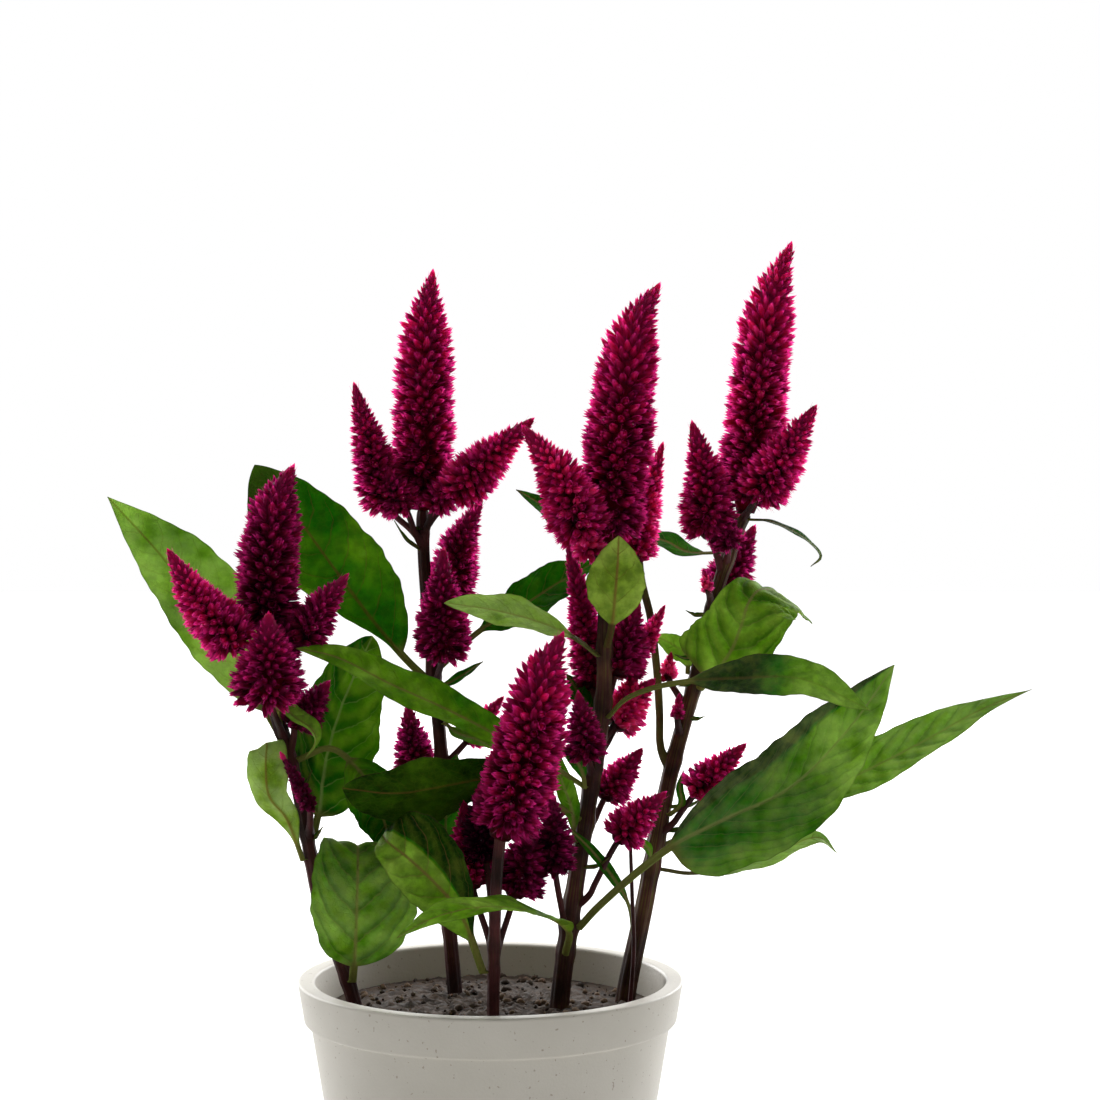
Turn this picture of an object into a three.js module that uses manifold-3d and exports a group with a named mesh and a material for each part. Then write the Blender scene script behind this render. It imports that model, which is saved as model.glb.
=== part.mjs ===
// A potted spike celosia: five flowering stems, their flower spikes and leaves, potting mix and a plain pot.
// Units are millimetres, +Z is up, and the origin is the middle of the pot's underside.
import * as THREE from "three";
import { mergeVertices } from "three/addons/utils/BufferGeometryUtils.js";
import Module from "manifold-3d";

const wasm = await Module();
wasm.setup();

// ---- Driving dimensions ----
const POT_HEIGHT = 110;
const POT_TOP_RADIUS = 70;
const POT_BASE_RADIUS = 50;
const POT_WALL = 4;
const POT_FLOOR = 5;
const RIM_HEIGHT = 15; // the thicker band round the pot's mouth
const RIM_STEP = 2.2; // how far that band stands out from the wall
const POT_EDGE = 1.2; // bevel of the pot's edges
const POT_SIDES = 36;
const DRAIN_RADIUS = 4;
const DRAIN_CIRCLE = 31; // radius of the circle that the drain holes lie on
const DRAIN_COUNT = 4;
const DRAIN_SIDES = 12;
const SOIL_BELOW_RIM = 12;
const SOIL_CROWN = 1.5; // how far the middle of the potting mix stands above its edge
const SOIL_FLAT = 0.6; // share of its radius over which the potting mix is level
const ROOTED_DEPTH = 22; // how deep a stem stands in the potting mix
const GAP = 0.3; // clearance between pieces that touch
const STALK_GAP = 0.45; // clearance between a stem and the end of a stalk, and round a stem in its socket
const SPIKE_GAP = 0.6; // clearance between a stem's top and its main spike
const SPIKE_CORE = 0.7; // share of a flower spike's radius that is solid: its outer florets are a loose fringe
const SPIKE_SIDES = 8;
const STALK_RADIUS = 1.3; // a side spike's stalk
const STEM_SIDES = 8;
const STEM_STEPS = 10;
const LEAF_THICKNESS = 0.8;
const LEAF_TIP_HALF = 0.25; // half a leaf's width at its very tip
const LEAF_STALK_WIDTH = 2.4;
const LEAF_STALK_THICKNESS = 1.8;
const LEAF_ACROSS = 2; // panels across a leaf, one on each side of the midrib
const BLADE_STEPS = 7; // panels along a leaf's blade
const BLADE_FULLNESS = 1.7; // the lower, the fuller a blade's outline
const SOIL_TOP = POT_HEIGHT - SOIL_BELOW_RIM;

// ---- The front elevation ----
// Places on the plant are [across, up, depth]. Across and up are read on the upright plane through the pot's axis,
// looked at from EYE, and depth is how far behind that plane the place lies.
const EYE = new THREE.Vector3(22, -1147, 346);

function place([across, up, depth]) {
  const onPlane = new THREE.Vector3(across, 0, up);
  return EYE.clone().lerp(onPlane, 1 - depth / EYE.y);
}

// ---- The plant's layout ----
// Each stem: its radius where it leaves the potting mix and at its top, and its way up.
const STEMS = {
  far_left: {
    radius: [2.8, 2.0],
    path: [
      [-49, 98, -14], [-62, 138, -16], [-67, 165, -18], [-72.5, 191, -20], [-79, 212, -21], [-79.6, 236, -22],
    ],
  },
  left: {
    radius: [2.9, 2.2],
    path: [
      [-12.5, 98, 20], [-15.5, 138, 26], [-17.6, 190, 30], [-21.6, 233, 33], [-23.8, 262, 34], [-24.2, 282, 35],
    ],
  },
  centre: {
    radius: [3.7, 2.5],
    path: [[25, 98, -2], [30, 138, -2], [36, 177, -1], [40.6, 208, 0], [41.3, 240, 1], [42.5, 270, 2]],
  },
  right: {
    radius: [3.8, 2.3],
    path: [[48.5, 98, 12], [56.2, 138, 13], [65, 184, 17], [74, 218, 20], [80.8, 248, 23], [92, 281, 26]],
  },
  front: {
    radius: [2.3, 2.0],
    path: [[1, 98, -36], [1.8, 138, -42], [2.6, 152, -45], [3.8, 163, -47]],
  },
};

// Each flower spike: its radius over the florets' tips, and its way from base to tip. A side spike's stalk leaves
// its stem at the height `from`; a main spike sits on its stem's top.
const SPIKES = {
  far_left_main_spike: {
    stem: "far_left", radius: 11.5,
    path: [[-79.6, 238, -22], [-80, 255, -22], [-78.8, 271, -22], [-76, 284.5, -21], [-70.2, 297, -20]],
  },
  far_left_spike_outer: {
    stem: "far_left", from: 219, radius: 9,
    path: [[-91, 231, -33], [-104.8, 247, -36], [-116.3, 266.5, -38]],
  },
  far_left_spike_inner: {
    stem: "far_left", from: 221, radius: 8,
    path: [[-67, 232, -26], [-59, 245, -22], [-49.7, 257, -18]],
  },
  far_left_spike_front: {
    stem: "far_left", from: 203, radius: 11.5,
    path: [[-79.9, 211, -40], [-79.9, 225, -44], [-79.9, 242, -46]],
  },
  far_left_spike_lower: {
    stem: "far_left", from: 198, radius: 7,
    path: [[-69.8, 204.5, -24], [-63.4, 212, -22], [-57.2, 220.4, -20]],
  },
  far_left_spike_stem: {
    stem: "far_left", from: 167, radius: 4.5,
    path: [[-65.5, 172, -26], [-69.6, 181, -29], [-76, 192.7, -34]],
  },
  left_main_spike: {
    stem: "left", radius: 10.8,
    path: [[-24.2, 283, 35], [-23.8, 303, 35], [-23.4, 327, 35], [-22.4, 350, 34], [-20.2, 366.6, 33]],
  },
  left_spike_outer: {
    stem: "left", from: 270, radius: 8.2,
    path: [[-37, 281, 30], [-43.2, 302.5, 28], [-49.3, 326, 26]],
  },
  left_spike_inner: {
    stem: "left", from: 274, radius: 8.6,
    path: [[-12.5, 286, 25], [-1.8, 297.5, 19], [15.8, 313.3, 15]],
  },
  left_spike_behind: {
    stem: "left", from: 243, radius: 7.5,
    path: [[-13.7, 249, 38], [-9.4, 267.6, 40], [-1.1, 285, 41]],
  },
  left_spike_middle: {
    stem: "left", from: 216, radius: 10.8,
    path: [[-17.4, 224, 22], [-17.6, 242.4, 19], [-16.9, 263.3, 18]],
  },
  left_spike_low_outer: {
    stem: "left", from: 176, radius: 7.2,
    path: [[-27.7, 185, 32], [-29.6, 197, 34], [-31.3, 209.6, 35]],
  },
  left_spike_low_inner: {
    stem: "left", from: 186, radius: 5.8,
    path: [[-8, 197, 30], [-1.8, 204.5, 31], [5, 213, 32]],
  },
  centre_main_spike: {
    stem: "centre", radius: 11.2,
    path: [[42.8, 271, 2], [45.7, 298, 2], [48.8, 327, 2], [52.8, 347, 3], [61.2, 362, 4]],
  },
  centre_spike_left: {
    stem: "centre", from: 262, radius: 9,
    path: [[35, 271, -8], [25.6, 292, -11], [12.2, 310.4, -13]],
  },
  centre_spike_tall_left: {
    stem: "centre", from: 210, radius: 6.2,
    path: [[36.6, 217, 9], [33.6, 242, 10], [27.7, 270, 11]],
  },
  centre_spike_right: {
    stem: "centre", from: 212, radius: 7,
    path: [[47.5, 220, 8], [51.5, 234, 11], [55.8, 247, 12]],
  },
  centre_spike_right_low: {
    stem: "centre", from: 194, radius: 6.4,
    path: [[45.6, 202, 8], [51, 210, 10], [59.4, 219, 11]],
  },
  centre_spike_front: {
    stem: "centre", from: 187, radius: 7.4,
    path: [[35, 191.5, -10], [33.4, 202, -13], [31.7, 215, -14]],
  },
  centre_spike_low_right: {
    stem: "centre", from: 166, radius: 6.8,
    path: [[43, 176.5, 7], [49.3, 185, 8], [56.5, 194.2, 8]],
  },
  centre_spike_bottom_right: {
    stem: "centre", from: 139, radius: 7.6,
    path: [[45.6, 159, -8], [53.3, 167.6, -8], [62.6, 176.2, -8]],
  },
  right_main_spike: {
    stem: "right", radius: 11.2,
    path: [[92.6, 283, 26], [94.3, 302.5, 27], [96.7, 327, 28], [101, 356, 29], [108, 376.7, 30]],
  },
  right_spike_left: {
    stem: "right", from: 259, radius: 9.4,
    path: [[79, 272, 17], [77.4, 292, 14], [72.4, 312.6, 12]],
  },
  right_spike_right: {
    stem: "right", from: 278, radius: 9.7,
    path: [[97.5, 284, 17], [107.3, 299.3, 12], [118.4, 317, 9]],
  },
  right_spike_behind: {
    stem: "right", from: 243, radius: 7,
    path: [[85, 252, 34], [91, 264, 37], [97.2, 276.2, 39]],
  },
  right_spike_low: {
    stem: "right", from: 163, radius: 6.1,
    path: [[73.8, 177, 8], [81.5, 185, 6], [92.2, 195.2, 5]],
  },
  right_branch_spike: {
    stem: "right", from: 187, radius: 7.8, stalk: [[60.2, 222, 22], [57.2, 245, 24]],
    path: [[54.6, 262, 24], [58.3, 284, 25], [63.7, 304, 25]],
  },
  front_main_spike: {
    stem: "front", radius: 12.6,
    path: [[4.3, 164.6, -47], [8.3, 178, -48], [14, 200, -49], [18.4, 221, -50], [25.6, 236.6, -50]],
  },
  front_spike_left: {
    stem: "front", from: 130, radius: 8.2,
    path: [[-5, 144, -27], [-6.2, 160, -25], [-8.2, 175, -24]],
  },
  front_spike_right: {
    stem: "centre", from: 130, radius: 6.8,
    path: [[23.4, 150, -22], [22.6, 165, -25], [21.8, 179.4, -26]],
  },
  front_spike_low: {
    stem: "front", from: 128, radius: 8.4,
    path: [[9, 141, -26], [12.6, 155, -27], [16.6, 170, -27]],
  },
};

// Each leaf: the height on its stem where its stalk leaves, the share of its length that is stalk, its width, the
// way its upper side faces where it is widest, how many degrees its halves fold up, and its midrib's way to the
// tip. Its blade is widest at WIDEST of its length, or at `peak`.
const WIDEST = 0.4;
const LEAVES = {
  leaf_far_left_big: {
    stem: "far_left", from: 203, stalk: 0.08, width: 36, face: [0.2, -0.9, 0.35], fold: 12,
    path: [[-84, 213, -12], [-95, 233, 0], [-117, 262, 10], [-137.5, 285, 14]],
  },
  leaf_left_big: {
    stem: "left", from: 217, stalk: 0.1, width: 38, face: [-0.15, -0.95, 0.25], fold: 14, peak: 0.45,
    path: [[-30, 226, 30], [-42, 240, 28], [-56, 259, 22], [-69, 277, 18], [-84.6, 296.5, 22]],
  },
  leaf_far_left_upright: {
    stem: "far_left", from: 165, stalk: 0.08, width: 38, face: [0.55, -0.8, 0.2], fold: 24, peak: 0.5,
    path: [[-62, 173, -11], [-59.5, 190, -4], [-53.5, 210, 2], [-42.5, 234.8, 6]],
  },
  leaf_centre_crossing: {
    stem: "centre", from: 180, stalk: 0.2, width: 24, face: [0, -0.45, 0.89], fold: 14, peak: 0.5,
    path: [
      [20, 192, -20], [3.6, 200.5, -24], [-15, 209.6, -26], [-34, 217.6, -28], [-54, 227, -31], [-68, 229.5, -34],
    ],
  },
  leaf_far_left_low: {
    stem: "far_left", from: 157, stalk: 0.1, width: 14, face: [0.25, 0.9, 0.35], fold: 12, peak: 0.62,
    path: [[-75, 165, -25], [-81.2, 173, -28], [-82.4, 184, -29], [-82, 192, -26], [-83, 191, -18]],
  },
  leaf_centre_dark: {
    stem: "centre", from: 168, stalk: 0.3, width: 31, face: [0, 0.75, 0.65], fold: 10, peak: 0.5,
    path: [[16, 180.5, -20], [-2, 186, -27], [-15, 184, -30], [-34, 181, -33], [-53.6, 182.8, -36]],
  },
  leaf_far_left_drooping: {
    stem: "far_left", from: 192, stalk: 0.3, width: 20, face: [-0.2, -0.8, 0.5], fold: 12,
    path: [[-58, 194, -19], [-47.5, 186, -14], [-40, 172, -6], [-35, 153, 4]],
  },
  leaf_left_low: {
    stem: "far_left", from: 112, stalk: 0.12, width: 42, face: [0.12, -0.92, 0.4], fold: 10,
    path: [
      [-46, 122, -30], [-45.4, 138, -31], [-45, 151, -28], [-45, 158.5, -20], [-45.5, 155, -11], [-46, 146, -6],
    ],
  },
  leaf_left_tall: {
    stem: "left", from: 124, stalk: 0.2, width: 22, face: [-0.3, -0.9, 0.3], fold: 16, peak: 0.45,
    path: [[-15, 142, 9], [-16, 158, 2], [-15.5, 176, 1], [-12, 192, 6]],
  },
  leaf_front_broad: {
    stem: "front", from: 120, stalk: 0.18, width: 32, face: [-0.25, -0.9, 0.35], fold: 8, peak: 0.45,
    path: [[-10, 131, -44], [-19, 142, -46], [-28.5, 151, -44], [-36, 157, -37], [-38, 160, -26]],
  },
  leaf_front_low: {
    stem: "centre", from: 120, stalk: 0.2, width: 22, face: [0, -0.2, 1], fold: 8, peak: 0.5,
    path: [[28, 131.5, -26], [15, 138.5, -52], [-4, 140, -68], [-21, 136, -76], [-34, 129, -80]],
  },
  leaf_left_inner: {
    stem: "left", from: 220, stalk: 0.28, width: 21, face: [0.15, -0.7, 0.7], fold: 14, peak: 0.5,
    path: [[-9, 233, 33], [0, 240, 32], [11, 246, 28], [24, 254.5, 25], [38, 262.5, 24]],
  },
  leaf_centre_pale: {
    stem: "centre", from: 228, stalk: 0.22, width: 19, face: [0, -0.5, 0.86], fold: 10, peak: 0.5,
    path: [[31, 233.5, -8], [20, 238.8, -12], [3.6, 243.5, -14], [-16.6, 246.7, -14]],
  },
  leaf_centre_small: {
    stem: "centre", from: 231, stalk: 0.18, width: 21, face: [0, 1, 0.1], fold: 8, peak: 0.48,
    path: [[42, 239, -10], [43, 249.6, -16], [43.9, 260.4, -19], [44.3, 271, -19]],
  },
  leaf_right_arched: {
    stem: "right", from: 214, stalk: 0.1, width: 34, face: [-0.1, -0.95, 0.35], fold: -8, peak: 0.5,
    path: [
      [82, 225, 9], [86, 232, 3], [88.5, 240, 0], [90.5, 247.5, 2], [94, 252, 8], [99, 251.5, 15], [105, 247, 21],
      [112, 239.5, 25],
    ],
  },
  leaf_centre_long: {
    stem: "centre", from: 206, stalk: 0.36, width: 25, face: [0, -0.45, 0.9], fold: 12, peak: 0.45,
    path: [
      [48.6, 213.6, -9], [57.6, 217.6, -14], [71.6, 220.4, -20], [91, 221.6, -26], [112, 221.4, -30],
      [137.5, 209.8, -32],
    ],
  },
  leaf_centre_big: {
    stem: "centre", from: 130, stalk: 0.24, width: 38, face: [0.2, -0.85, 0.45], fold: 20, peak: 0.5,
    path: [
      [39.6, 142.5, -10], [64.4, 162, -16], [84, 171, -18], [108, 181.5, -15], [130, 203, -6], [145, 223.3, 0],
    ],
  },
  leaf_right_low: {
    stem: "right", from: 148, stalk: 0.2, width: 19, face: [0, -0.45, 0.9], fold: 10, peak: 0.5,
    path: [[72, 151, 11], [88, 153.5, 8], [103, 158.5, 6], [118, 164, 6], [125, 158.5, 7]],
  },
  leaf_right_far: {
    stem: "right", from: 157, stalk: 0.25, width: 24, face: [-0.1, -0.78, 0.62], fold: 12,
    path: [[82, 166, 20], [105, 173, 19], [130, 183, 16], [155, 195.6, 12], [176.4, 207.5, 9], [195.5, 215.4, 8]],
  },
  leaf_right_hooked: {
    stem: "right", from: 276, stalk: 0.08, width: 5, face: [0.3, -0.3, 0.9], fold: 10,
    path: [[99, 277.2, 20], [106, 274.5, 18], [113.5, 270, 17], [118, 264.5, 16], [114.5, 260.8, 15]],
  },
  leaf_right_back: {
    stem: "right", from: 262, stalk: 0.15, width: 13, face: [0, -0.5, 0.86], fold: 10,
    path: [[75.6, 265, 31], [68, 268.7, 36], [59.4, 271.4, 40], [48.6, 278.4, 43]],
  },
  leaf_centre_back: {
    stem: "centre", from: 256, stalk: 0.15, width: 13, face: [0, -0.5, 0.86], fold: 10,
    path: [[35, 265, 10], [25.2, 275, 13], [16.2, 281.5, 14], [9.4, 285.6, 14]],
  },
};

// ---- Materials ----
const finish = (colour, roughness) => new THREE.MeshStandardMaterial({ color: colour, roughness, metalness: 0 });
const POT_CERAMIC = finish(0xe9e4d6, 0.45);
const POTTING_MIX = finish(0x2e2119, 0.95);
const STEM_BARK = finish(0x3a2328, 0.55);
const LEAF_GREEN = finish(0x3f7a1f, 0.45);
const SPIKE_MAGENTA = finish(0x8c0a45, 0.7);

// ---- Shapes ----
function curveThrough(points) {
  return new THREE.CatmullRomCurve3(points, false, "centripetal");
}

// A square frame on a curve at share t, whose normal leans to the given way.
function frameAt(curve, t, way) {
  const tangent = curve.getTangentAt(t);
  const side = new THREE.Vector3().crossVectors(way, tangent).normalize();
  return { origin: curve.getPointAt(t), side, normal: new THREE.Vector3().crossVectors(tangent, side) };
}

const CARRY_STEPS = 12;

// The frame that leans to the given way at share `from`, carried along the curve without twist to share t.
function carriedFrame(curve, t, way, from) {
  const { side } = frameAt(curve, from, way);
  const turn = new THREE.Quaternion();
  let tangent = curve.getTangentAt(from);
  for (let i = 1; i <= CARRY_STEPS; i++) {
    const next = curve.getTangentAt(THREE.MathUtils.lerp(from, t, i / CARRY_STEPS));
    side.applyQuaternion(turn.setFromUnitVectors(tangent, next));
    tangent = next;
  }
  return { origin: curve.getPointAt(t), side, normal: new THREE.Vector3().crossVectors(tangent, side) };
}

function deform(geometry, move) {
  const at = geometry.getAttribute("position");
  const p = new THREE.Vector3();
  for (let i = 0; i < at.count; i++) {
    p.copy(move(p.fromBufferAttribute(at, i)));
    at.setXYZ(i, p.x, p.y, p.z);
  }
  return geometry;
}

const BACKWARDS = new THREE.Vector3(0, 1, 0); // away from the front: no stem or stalk runs along it

// A round solid along a curve. The profile lists [share of the length, radius] and is closed at both ends.
function roundAlong(curve, profile, sides) {
  const outline = profile.map(([t, r]) => new THREE.Vector2(r, t));
  outline.unshift(new THREE.Vector2(0, outline[0].y));
  outline.push(new THREE.Vector2(0, outline[outline.length - 1].y));
  return deform(new THREE.LatheGeometry(outline, sides), (p) => {
    const f = frameAt(curve, Math.min(Math.max(p.y, 0), 1), BACKWARDS);
    return f.origin.addScaledVector(f.normal, p.x).addScaledVector(f.side, p.z);
  });
}

function mesh(name, geometry, material) {
  const made = new THREE.Mesh(geometry, material);
  made.name = name;
  return made;
}

// ---- Stems ----
const SOCKET_SHARE = 0.5; // share of a stem that its socket in the potting mix follows, so that it cuts clear
const HALVINGS = 30; // steps of the search for a height on a stem

function stemCurve({ path }) {
  const above = path.map(place);
  const foot = above[0].clone();
  foot.z -= ROOTED_DEPTH;
  return curveThrough([foot, ...above]);
}

const stemCurves = Object.fromEntries(Object.entries(STEMS).map(([name, stem]) => [name, stemCurve(stem)]));

// The stem's axis, direction and radius at a height.
function onStem(name, height) {
  const curve = stemCurves[name];
  let low = 0;
  let high = 1;
  for (let i = 0; i < HALVINGS; i++) {
    const middle = (low + high) / 2;
    if (curve.getPointAt(middle).z < height) low = middle;
    else high = middle;
  }
  return { axis: curve.getPointAt(low), along: curve.getTangentAt(low), radius: stemRadius(name, low) };
}

function stemRadius(name, t) {
  const [foot, top] = STEMS[name].radius;
  return foot + (top - foot) * t;
}

// A stem's outline up to a share of its length, grown by a clearance. Without one it stops a gap above its foot.
function stemOutline(name, upTo, clearance) {
  const profile = [];
  for (let i = 0; i <= STEM_STEPS * upTo; i++) {
    const t = i / STEM_STEPS;
    profile.push([t, stemRadius(name, t) + clearance]);
  }
  if (clearance === 0) profile[0][0] = GAP / stemCurves[name].getLength();
  return profile;
}

function stemSolid(name) {
  return roundAlong(stemCurves[name], stemOutline(name, 1, 0), STEM_SIDES);
}

// Where a stalk of a radius that heads for a point meets its stem: on the stem's skin, a gap clear of it.
function seatOnStem(name, height, towards, radius) {
  const { axis, along, radius: stemR } = onStem(name, height);
  const heading = towards.clone().sub(axis).normalize();
  const out = heading.clone().addScaledVector(along, -heading.dot(along)).normalize();
  return axis.addScaledVector(out, stemR + STALK_GAP + radius * Math.abs(heading.dot(along)));
}

// ---- Flower spikes ----
// A spike's outline from base to tip: [share of its length, share of its radius].
const SPIKE_OUTLINE = [
  [0, 0.4], [0.05, 0.8], [0.14, 1], [0.45, 0.98], [0.64, 0.88], [0.77, 0.68], [0.9, 0.33], [1, 0.06],
];
const STALK_SHARE = 0.97; // share of the way to the florets that a stalk runs at its own radius
const LENGTH_SAMPLES = 400;

function mainSpikeSolid({ stem, radius, path }) {
  const way = path.map(place);
  const up = way[1].clone().sub(way[0]).normalize();
  way[0].copy(stemCurves[stem].getPointAt(1)).addScaledVector(up, SPIKE_GAP);
  const profile = SPIKE_OUTLINE.map(([t, r]) => [t, r * radius * SPIKE_CORE]);
  return roundAlong(curveThrough(way), profile, SPIKE_SIDES);
}

// A side spike and its stalk, which passes any places listed in `stalk` on its way to the florets.
function sideSpikeSolid({ stem, from, stalk = [], radius, path }) {
  const way = [...stalk, ...path].map(place);
  const curve = curveThrough([seatOnStem(stem, from, way[0], STALK_RADIUS), ...way]);
  const lengths = curve.getLengths(LENGTH_SAMPLES);
  const florets = Math.round((LENGTH_SAMPLES * (stalk.length + 1)) / way.length);
  const begin = lengths[florets] / lengths[LENGTH_SAMPLES];
  const profile = [[0, STALK_RADIUS], [begin * STALK_SHARE, STALK_RADIUS]];
  for (const [t, r] of SPIKE_OUTLINE) profile.push([begin + t * (1 - begin), r * radius * SPIKE_CORE]);
  return roundAlong(curve, profile, SPIKE_SIDES);
}

const spikeSolid = (spike) => (spike.from === undefined ? mainSpikeSolid(spike) : sideSpikeSolid(spike));

// ---- Leaves ----
const LEAF_STALK_REACH = Math.hypot(LEAF_STALK_WIDTH, LEAF_STALK_THICKNESS) / 2; // from its middle to a corner

// A blade's half width at share q of its length, as a share of its greatest.
function bladeShare(q, peak) {
  const rise = BLADE_FULLNESS * peak;
  const fall = BLADE_FULLNESS * (1 - peak);
  return (q / peak) ** rise * ((1 - q) / (1 - peak)) ** fall;
}

function leafSolid({ stem, from, stalk, width, face, fold, peak = WIDEST, path }) {
  const way = path.map(place);
  const curve = curveThrough([seatOnStem(stem, from, way[0], LEAF_STALK_REACH), ...way]);
  const facing = new THREE.Vector3(...face);
  const widest = stalk + (1 - stalk) * peak;
  const rise = Math.tan(THREE.MathUtils.degToRad(fold));
  const stations = [0, stalk];
  for (let i = 1; i <= BLADE_STEPS; i++) stations.push(stalk + (1 - stalk) * (i / BLADE_STEPS));
  const geometry = new THREE.BoxGeometry(2, 1, 1, LEAF_ACROSS, 1, stations.length - 1);
  return deform(geometry, (p) => {
    const t = stations[Math.round((p.z + 0.5) * (stations.length - 1))];
    const q = Math.max(0, (t - stalk) / (1 - stalk));
    const half = Math.max((width / 2) * bladeShare(q, peak), (LEAF_STALK_WIDTH / 2) * (1 - q) + LEAF_TIP_HALF);
    const thick = q > 0 ? LEAF_THICKNESS : LEAF_STALK_THICKNESS;
    const f = carriedFrame(curve, t, facing, widest);
    const lift = (q > 0 ? Math.abs(p.x) * half * rise : 0) + p.y * thick;
    return f.origin.addScaledVector(f.side, p.x * half).addScaledVector(f.normal, lift);
  });
}

// ---- Pot and potting mix ----
function toManifold(geometry) {
  const bare = geometry.clone();
  bare.deleteAttribute("normal");
  bare.deleteAttribute("uv");
  const merged = mergeVertices(bare, 1e-4);
  const solid = new wasm.Mesh({
    numProp: 3,
    vertProperties: merged.getAttribute("position").array,
    triVerts: new Uint32Array(merged.index.array),
  });
  return new wasm.Manifold(solid);
}

function fromManifold(solid) {
  const { vertProperties, triVerts } = solid.getMesh();
  const geometry = new THREE.BufferGeometry();
  geometry.setAttribute("position", new THREE.BufferAttribute(vertProperties, 3));
  geometry.setIndex(new THREE.BufferAttribute(triVerts, 1));
  return geometry;
}

// A solid turned about the pot's axis, from an outline of [radius, height] in drawing order.
function turned(outline, sides) {
  const points = outline.map(([r, z]) => new THREE.Vector2(r, z));
  return new THREE.LatheGeometry(points, sides).rotateX(Math.PI / 2);
}

const wallRadius = (z) => POT_BASE_RADIUS + (POT_TOP_RADIUS - RIM_STEP - POT_BASE_RADIUS) * (z / POT_HEIGHT);

function potSolid() {
  const rimFoot = POT_HEIGHT - RIM_HEIGHT;
  const outline = [
    [0, 0],
    [POT_BASE_RADIUS - POT_EDGE, 0],
    [POT_BASE_RADIUS, POT_EDGE],
    [wallRadius(rimFoot), rimFoot],
    [wallRadius(rimFoot) + RIM_STEP, rimFoot + POT_EDGE],
    [POT_TOP_RADIUS, POT_HEIGHT - POT_EDGE],
    [POT_TOP_RADIUS - POT_EDGE, POT_HEIGHT],
    [wallRadius(POT_HEIGHT) - POT_WALL + POT_EDGE, POT_HEIGHT],
    [wallRadius(POT_HEIGHT) - POT_WALL, POT_HEIGHT - POT_EDGE],
    [wallRadius(POT_FLOOR) - POT_WALL, POT_FLOOR],
    [0, POT_FLOOR],
  ];
  let solid = toManifold(turned(outline, POT_SIDES));
  for (let i = 0; i < DRAIN_COUNT; i++) {
    const turn = (Math.PI * 2 * (i + 0.5)) / DRAIN_COUNT;
    const drill = new THREE.CylinderGeometry(DRAIN_RADIUS, DRAIN_RADIUS, POT_FLOOR * 4, DRAIN_SIDES);
    drill.rotateX(Math.PI / 2).translate(DRAIN_CIRCLE * Math.cos(turn), DRAIN_CIRCLE * Math.sin(turn), 0);
    solid = solid.subtract(toManifold(drill));
  }
  return fromManifold(solid);
}

function soilSolid() {
  const inside = (z) => wallRadius(z) - POT_WALL - GAP;
  const outline = [
    [0, POT_FLOOR + GAP],
    [inside(POT_FLOOR + GAP), POT_FLOOR + GAP],
    [inside(SOIL_TOP), SOIL_TOP],
    [inside(SOIL_TOP) * SOIL_FLAT, SOIL_TOP + SOIL_CROWN],
    [0, SOIL_TOP + SOIL_CROWN],
  ];
  let solid = toManifold(turned(outline, POT_SIDES));
  for (const name of Object.keys(STEMS)) {
    const socket = roundAlong(stemCurves[name], stemOutline(name, SOCKET_SHARE, STALK_GAP), STEM_SIDES);
    solid = solid.subtract(toManifold(socket));
  }
  return fromManifold(solid);
}

// ---- The whole plant ----
const plant = new THREE.Group();
plant.add(mesh("pot", potSolid(), POT_CERAMIC));
plant.add(mesh("potting_mix", soilSolid(), POTTING_MIX));
for (const name of Object.keys(STEMS)) plant.add(mesh(`stem_${name}`, stemSolid(name), STEM_BARK));
for (const [name, spike] of Object.entries(SPIKES)) plant.add(mesh(name, spikeSolid(spike), SPIKE_MAGENTA));
for (const [name, leaf] of Object.entries(LEAVES)) plant.add(mesh(name, leafSolid(leaf), LEAF_GREEN));

export default plant;
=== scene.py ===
import math
from itertools import zip_longest

import bpy
import numpy as np
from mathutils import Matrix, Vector


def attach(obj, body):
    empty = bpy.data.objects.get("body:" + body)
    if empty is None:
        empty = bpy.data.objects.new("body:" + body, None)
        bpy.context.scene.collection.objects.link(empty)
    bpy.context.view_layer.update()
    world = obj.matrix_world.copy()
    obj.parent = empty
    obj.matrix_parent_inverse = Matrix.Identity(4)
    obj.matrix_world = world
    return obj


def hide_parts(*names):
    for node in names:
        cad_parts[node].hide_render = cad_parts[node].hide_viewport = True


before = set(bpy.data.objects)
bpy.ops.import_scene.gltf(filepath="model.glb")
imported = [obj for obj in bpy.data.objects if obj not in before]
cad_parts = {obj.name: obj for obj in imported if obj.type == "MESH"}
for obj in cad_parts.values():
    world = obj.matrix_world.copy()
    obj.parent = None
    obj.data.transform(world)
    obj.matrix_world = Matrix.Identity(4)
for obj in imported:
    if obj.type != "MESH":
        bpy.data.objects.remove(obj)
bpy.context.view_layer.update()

# A potted spike celosia. The layout repeats the CAD source's values, in millimetres, with +Z up and the origin at
# the middle of the pot's underside. The florets, veins and small parts are added here.
MM = 0.001

# ---- The layout, as in the CAD source ----
POT_HEIGHT, POT_TOP_RADIUS, POT_BASE_RADIUS = 110, 70, 50
POT_WALL, POT_FLOOR, POT_EDGE = 4, 5, 1.2
RIM_HEIGHT, RIM_STEP = 15, 2.2
DRAIN_RADIUS, DRAIN_CIRCLE, DRAIN_COUNT = 4, 31, 4
SOIL_TOP, SOIL_CROWN = 98, 1.5
ROOTED_DEPTH = 22
STALK_GAP, STALK_RADIUS = 0.45, 1.3
LEAF_TIP_HALF, LEAF_STALK_WIDTH, LEAF_STALK_THICKNESS = 0.25, 2.4, 1.8
EYE = np.array([22.0, -1147.0, 346.0])
BACKWARDS = np.array([0.0, 1.0, 0.0])


def spike(stem, start, radius, *path, **look):
    return dict(stem=stem, start=start, radius=radius, path=path, **look)


def leaf(stem, start, stalk, width, face, fold, *path, **look):
    return dict(stem=stem, start=start, stalk=stalk, width=width, face=face, fold=fold, path=path, **look)


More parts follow.
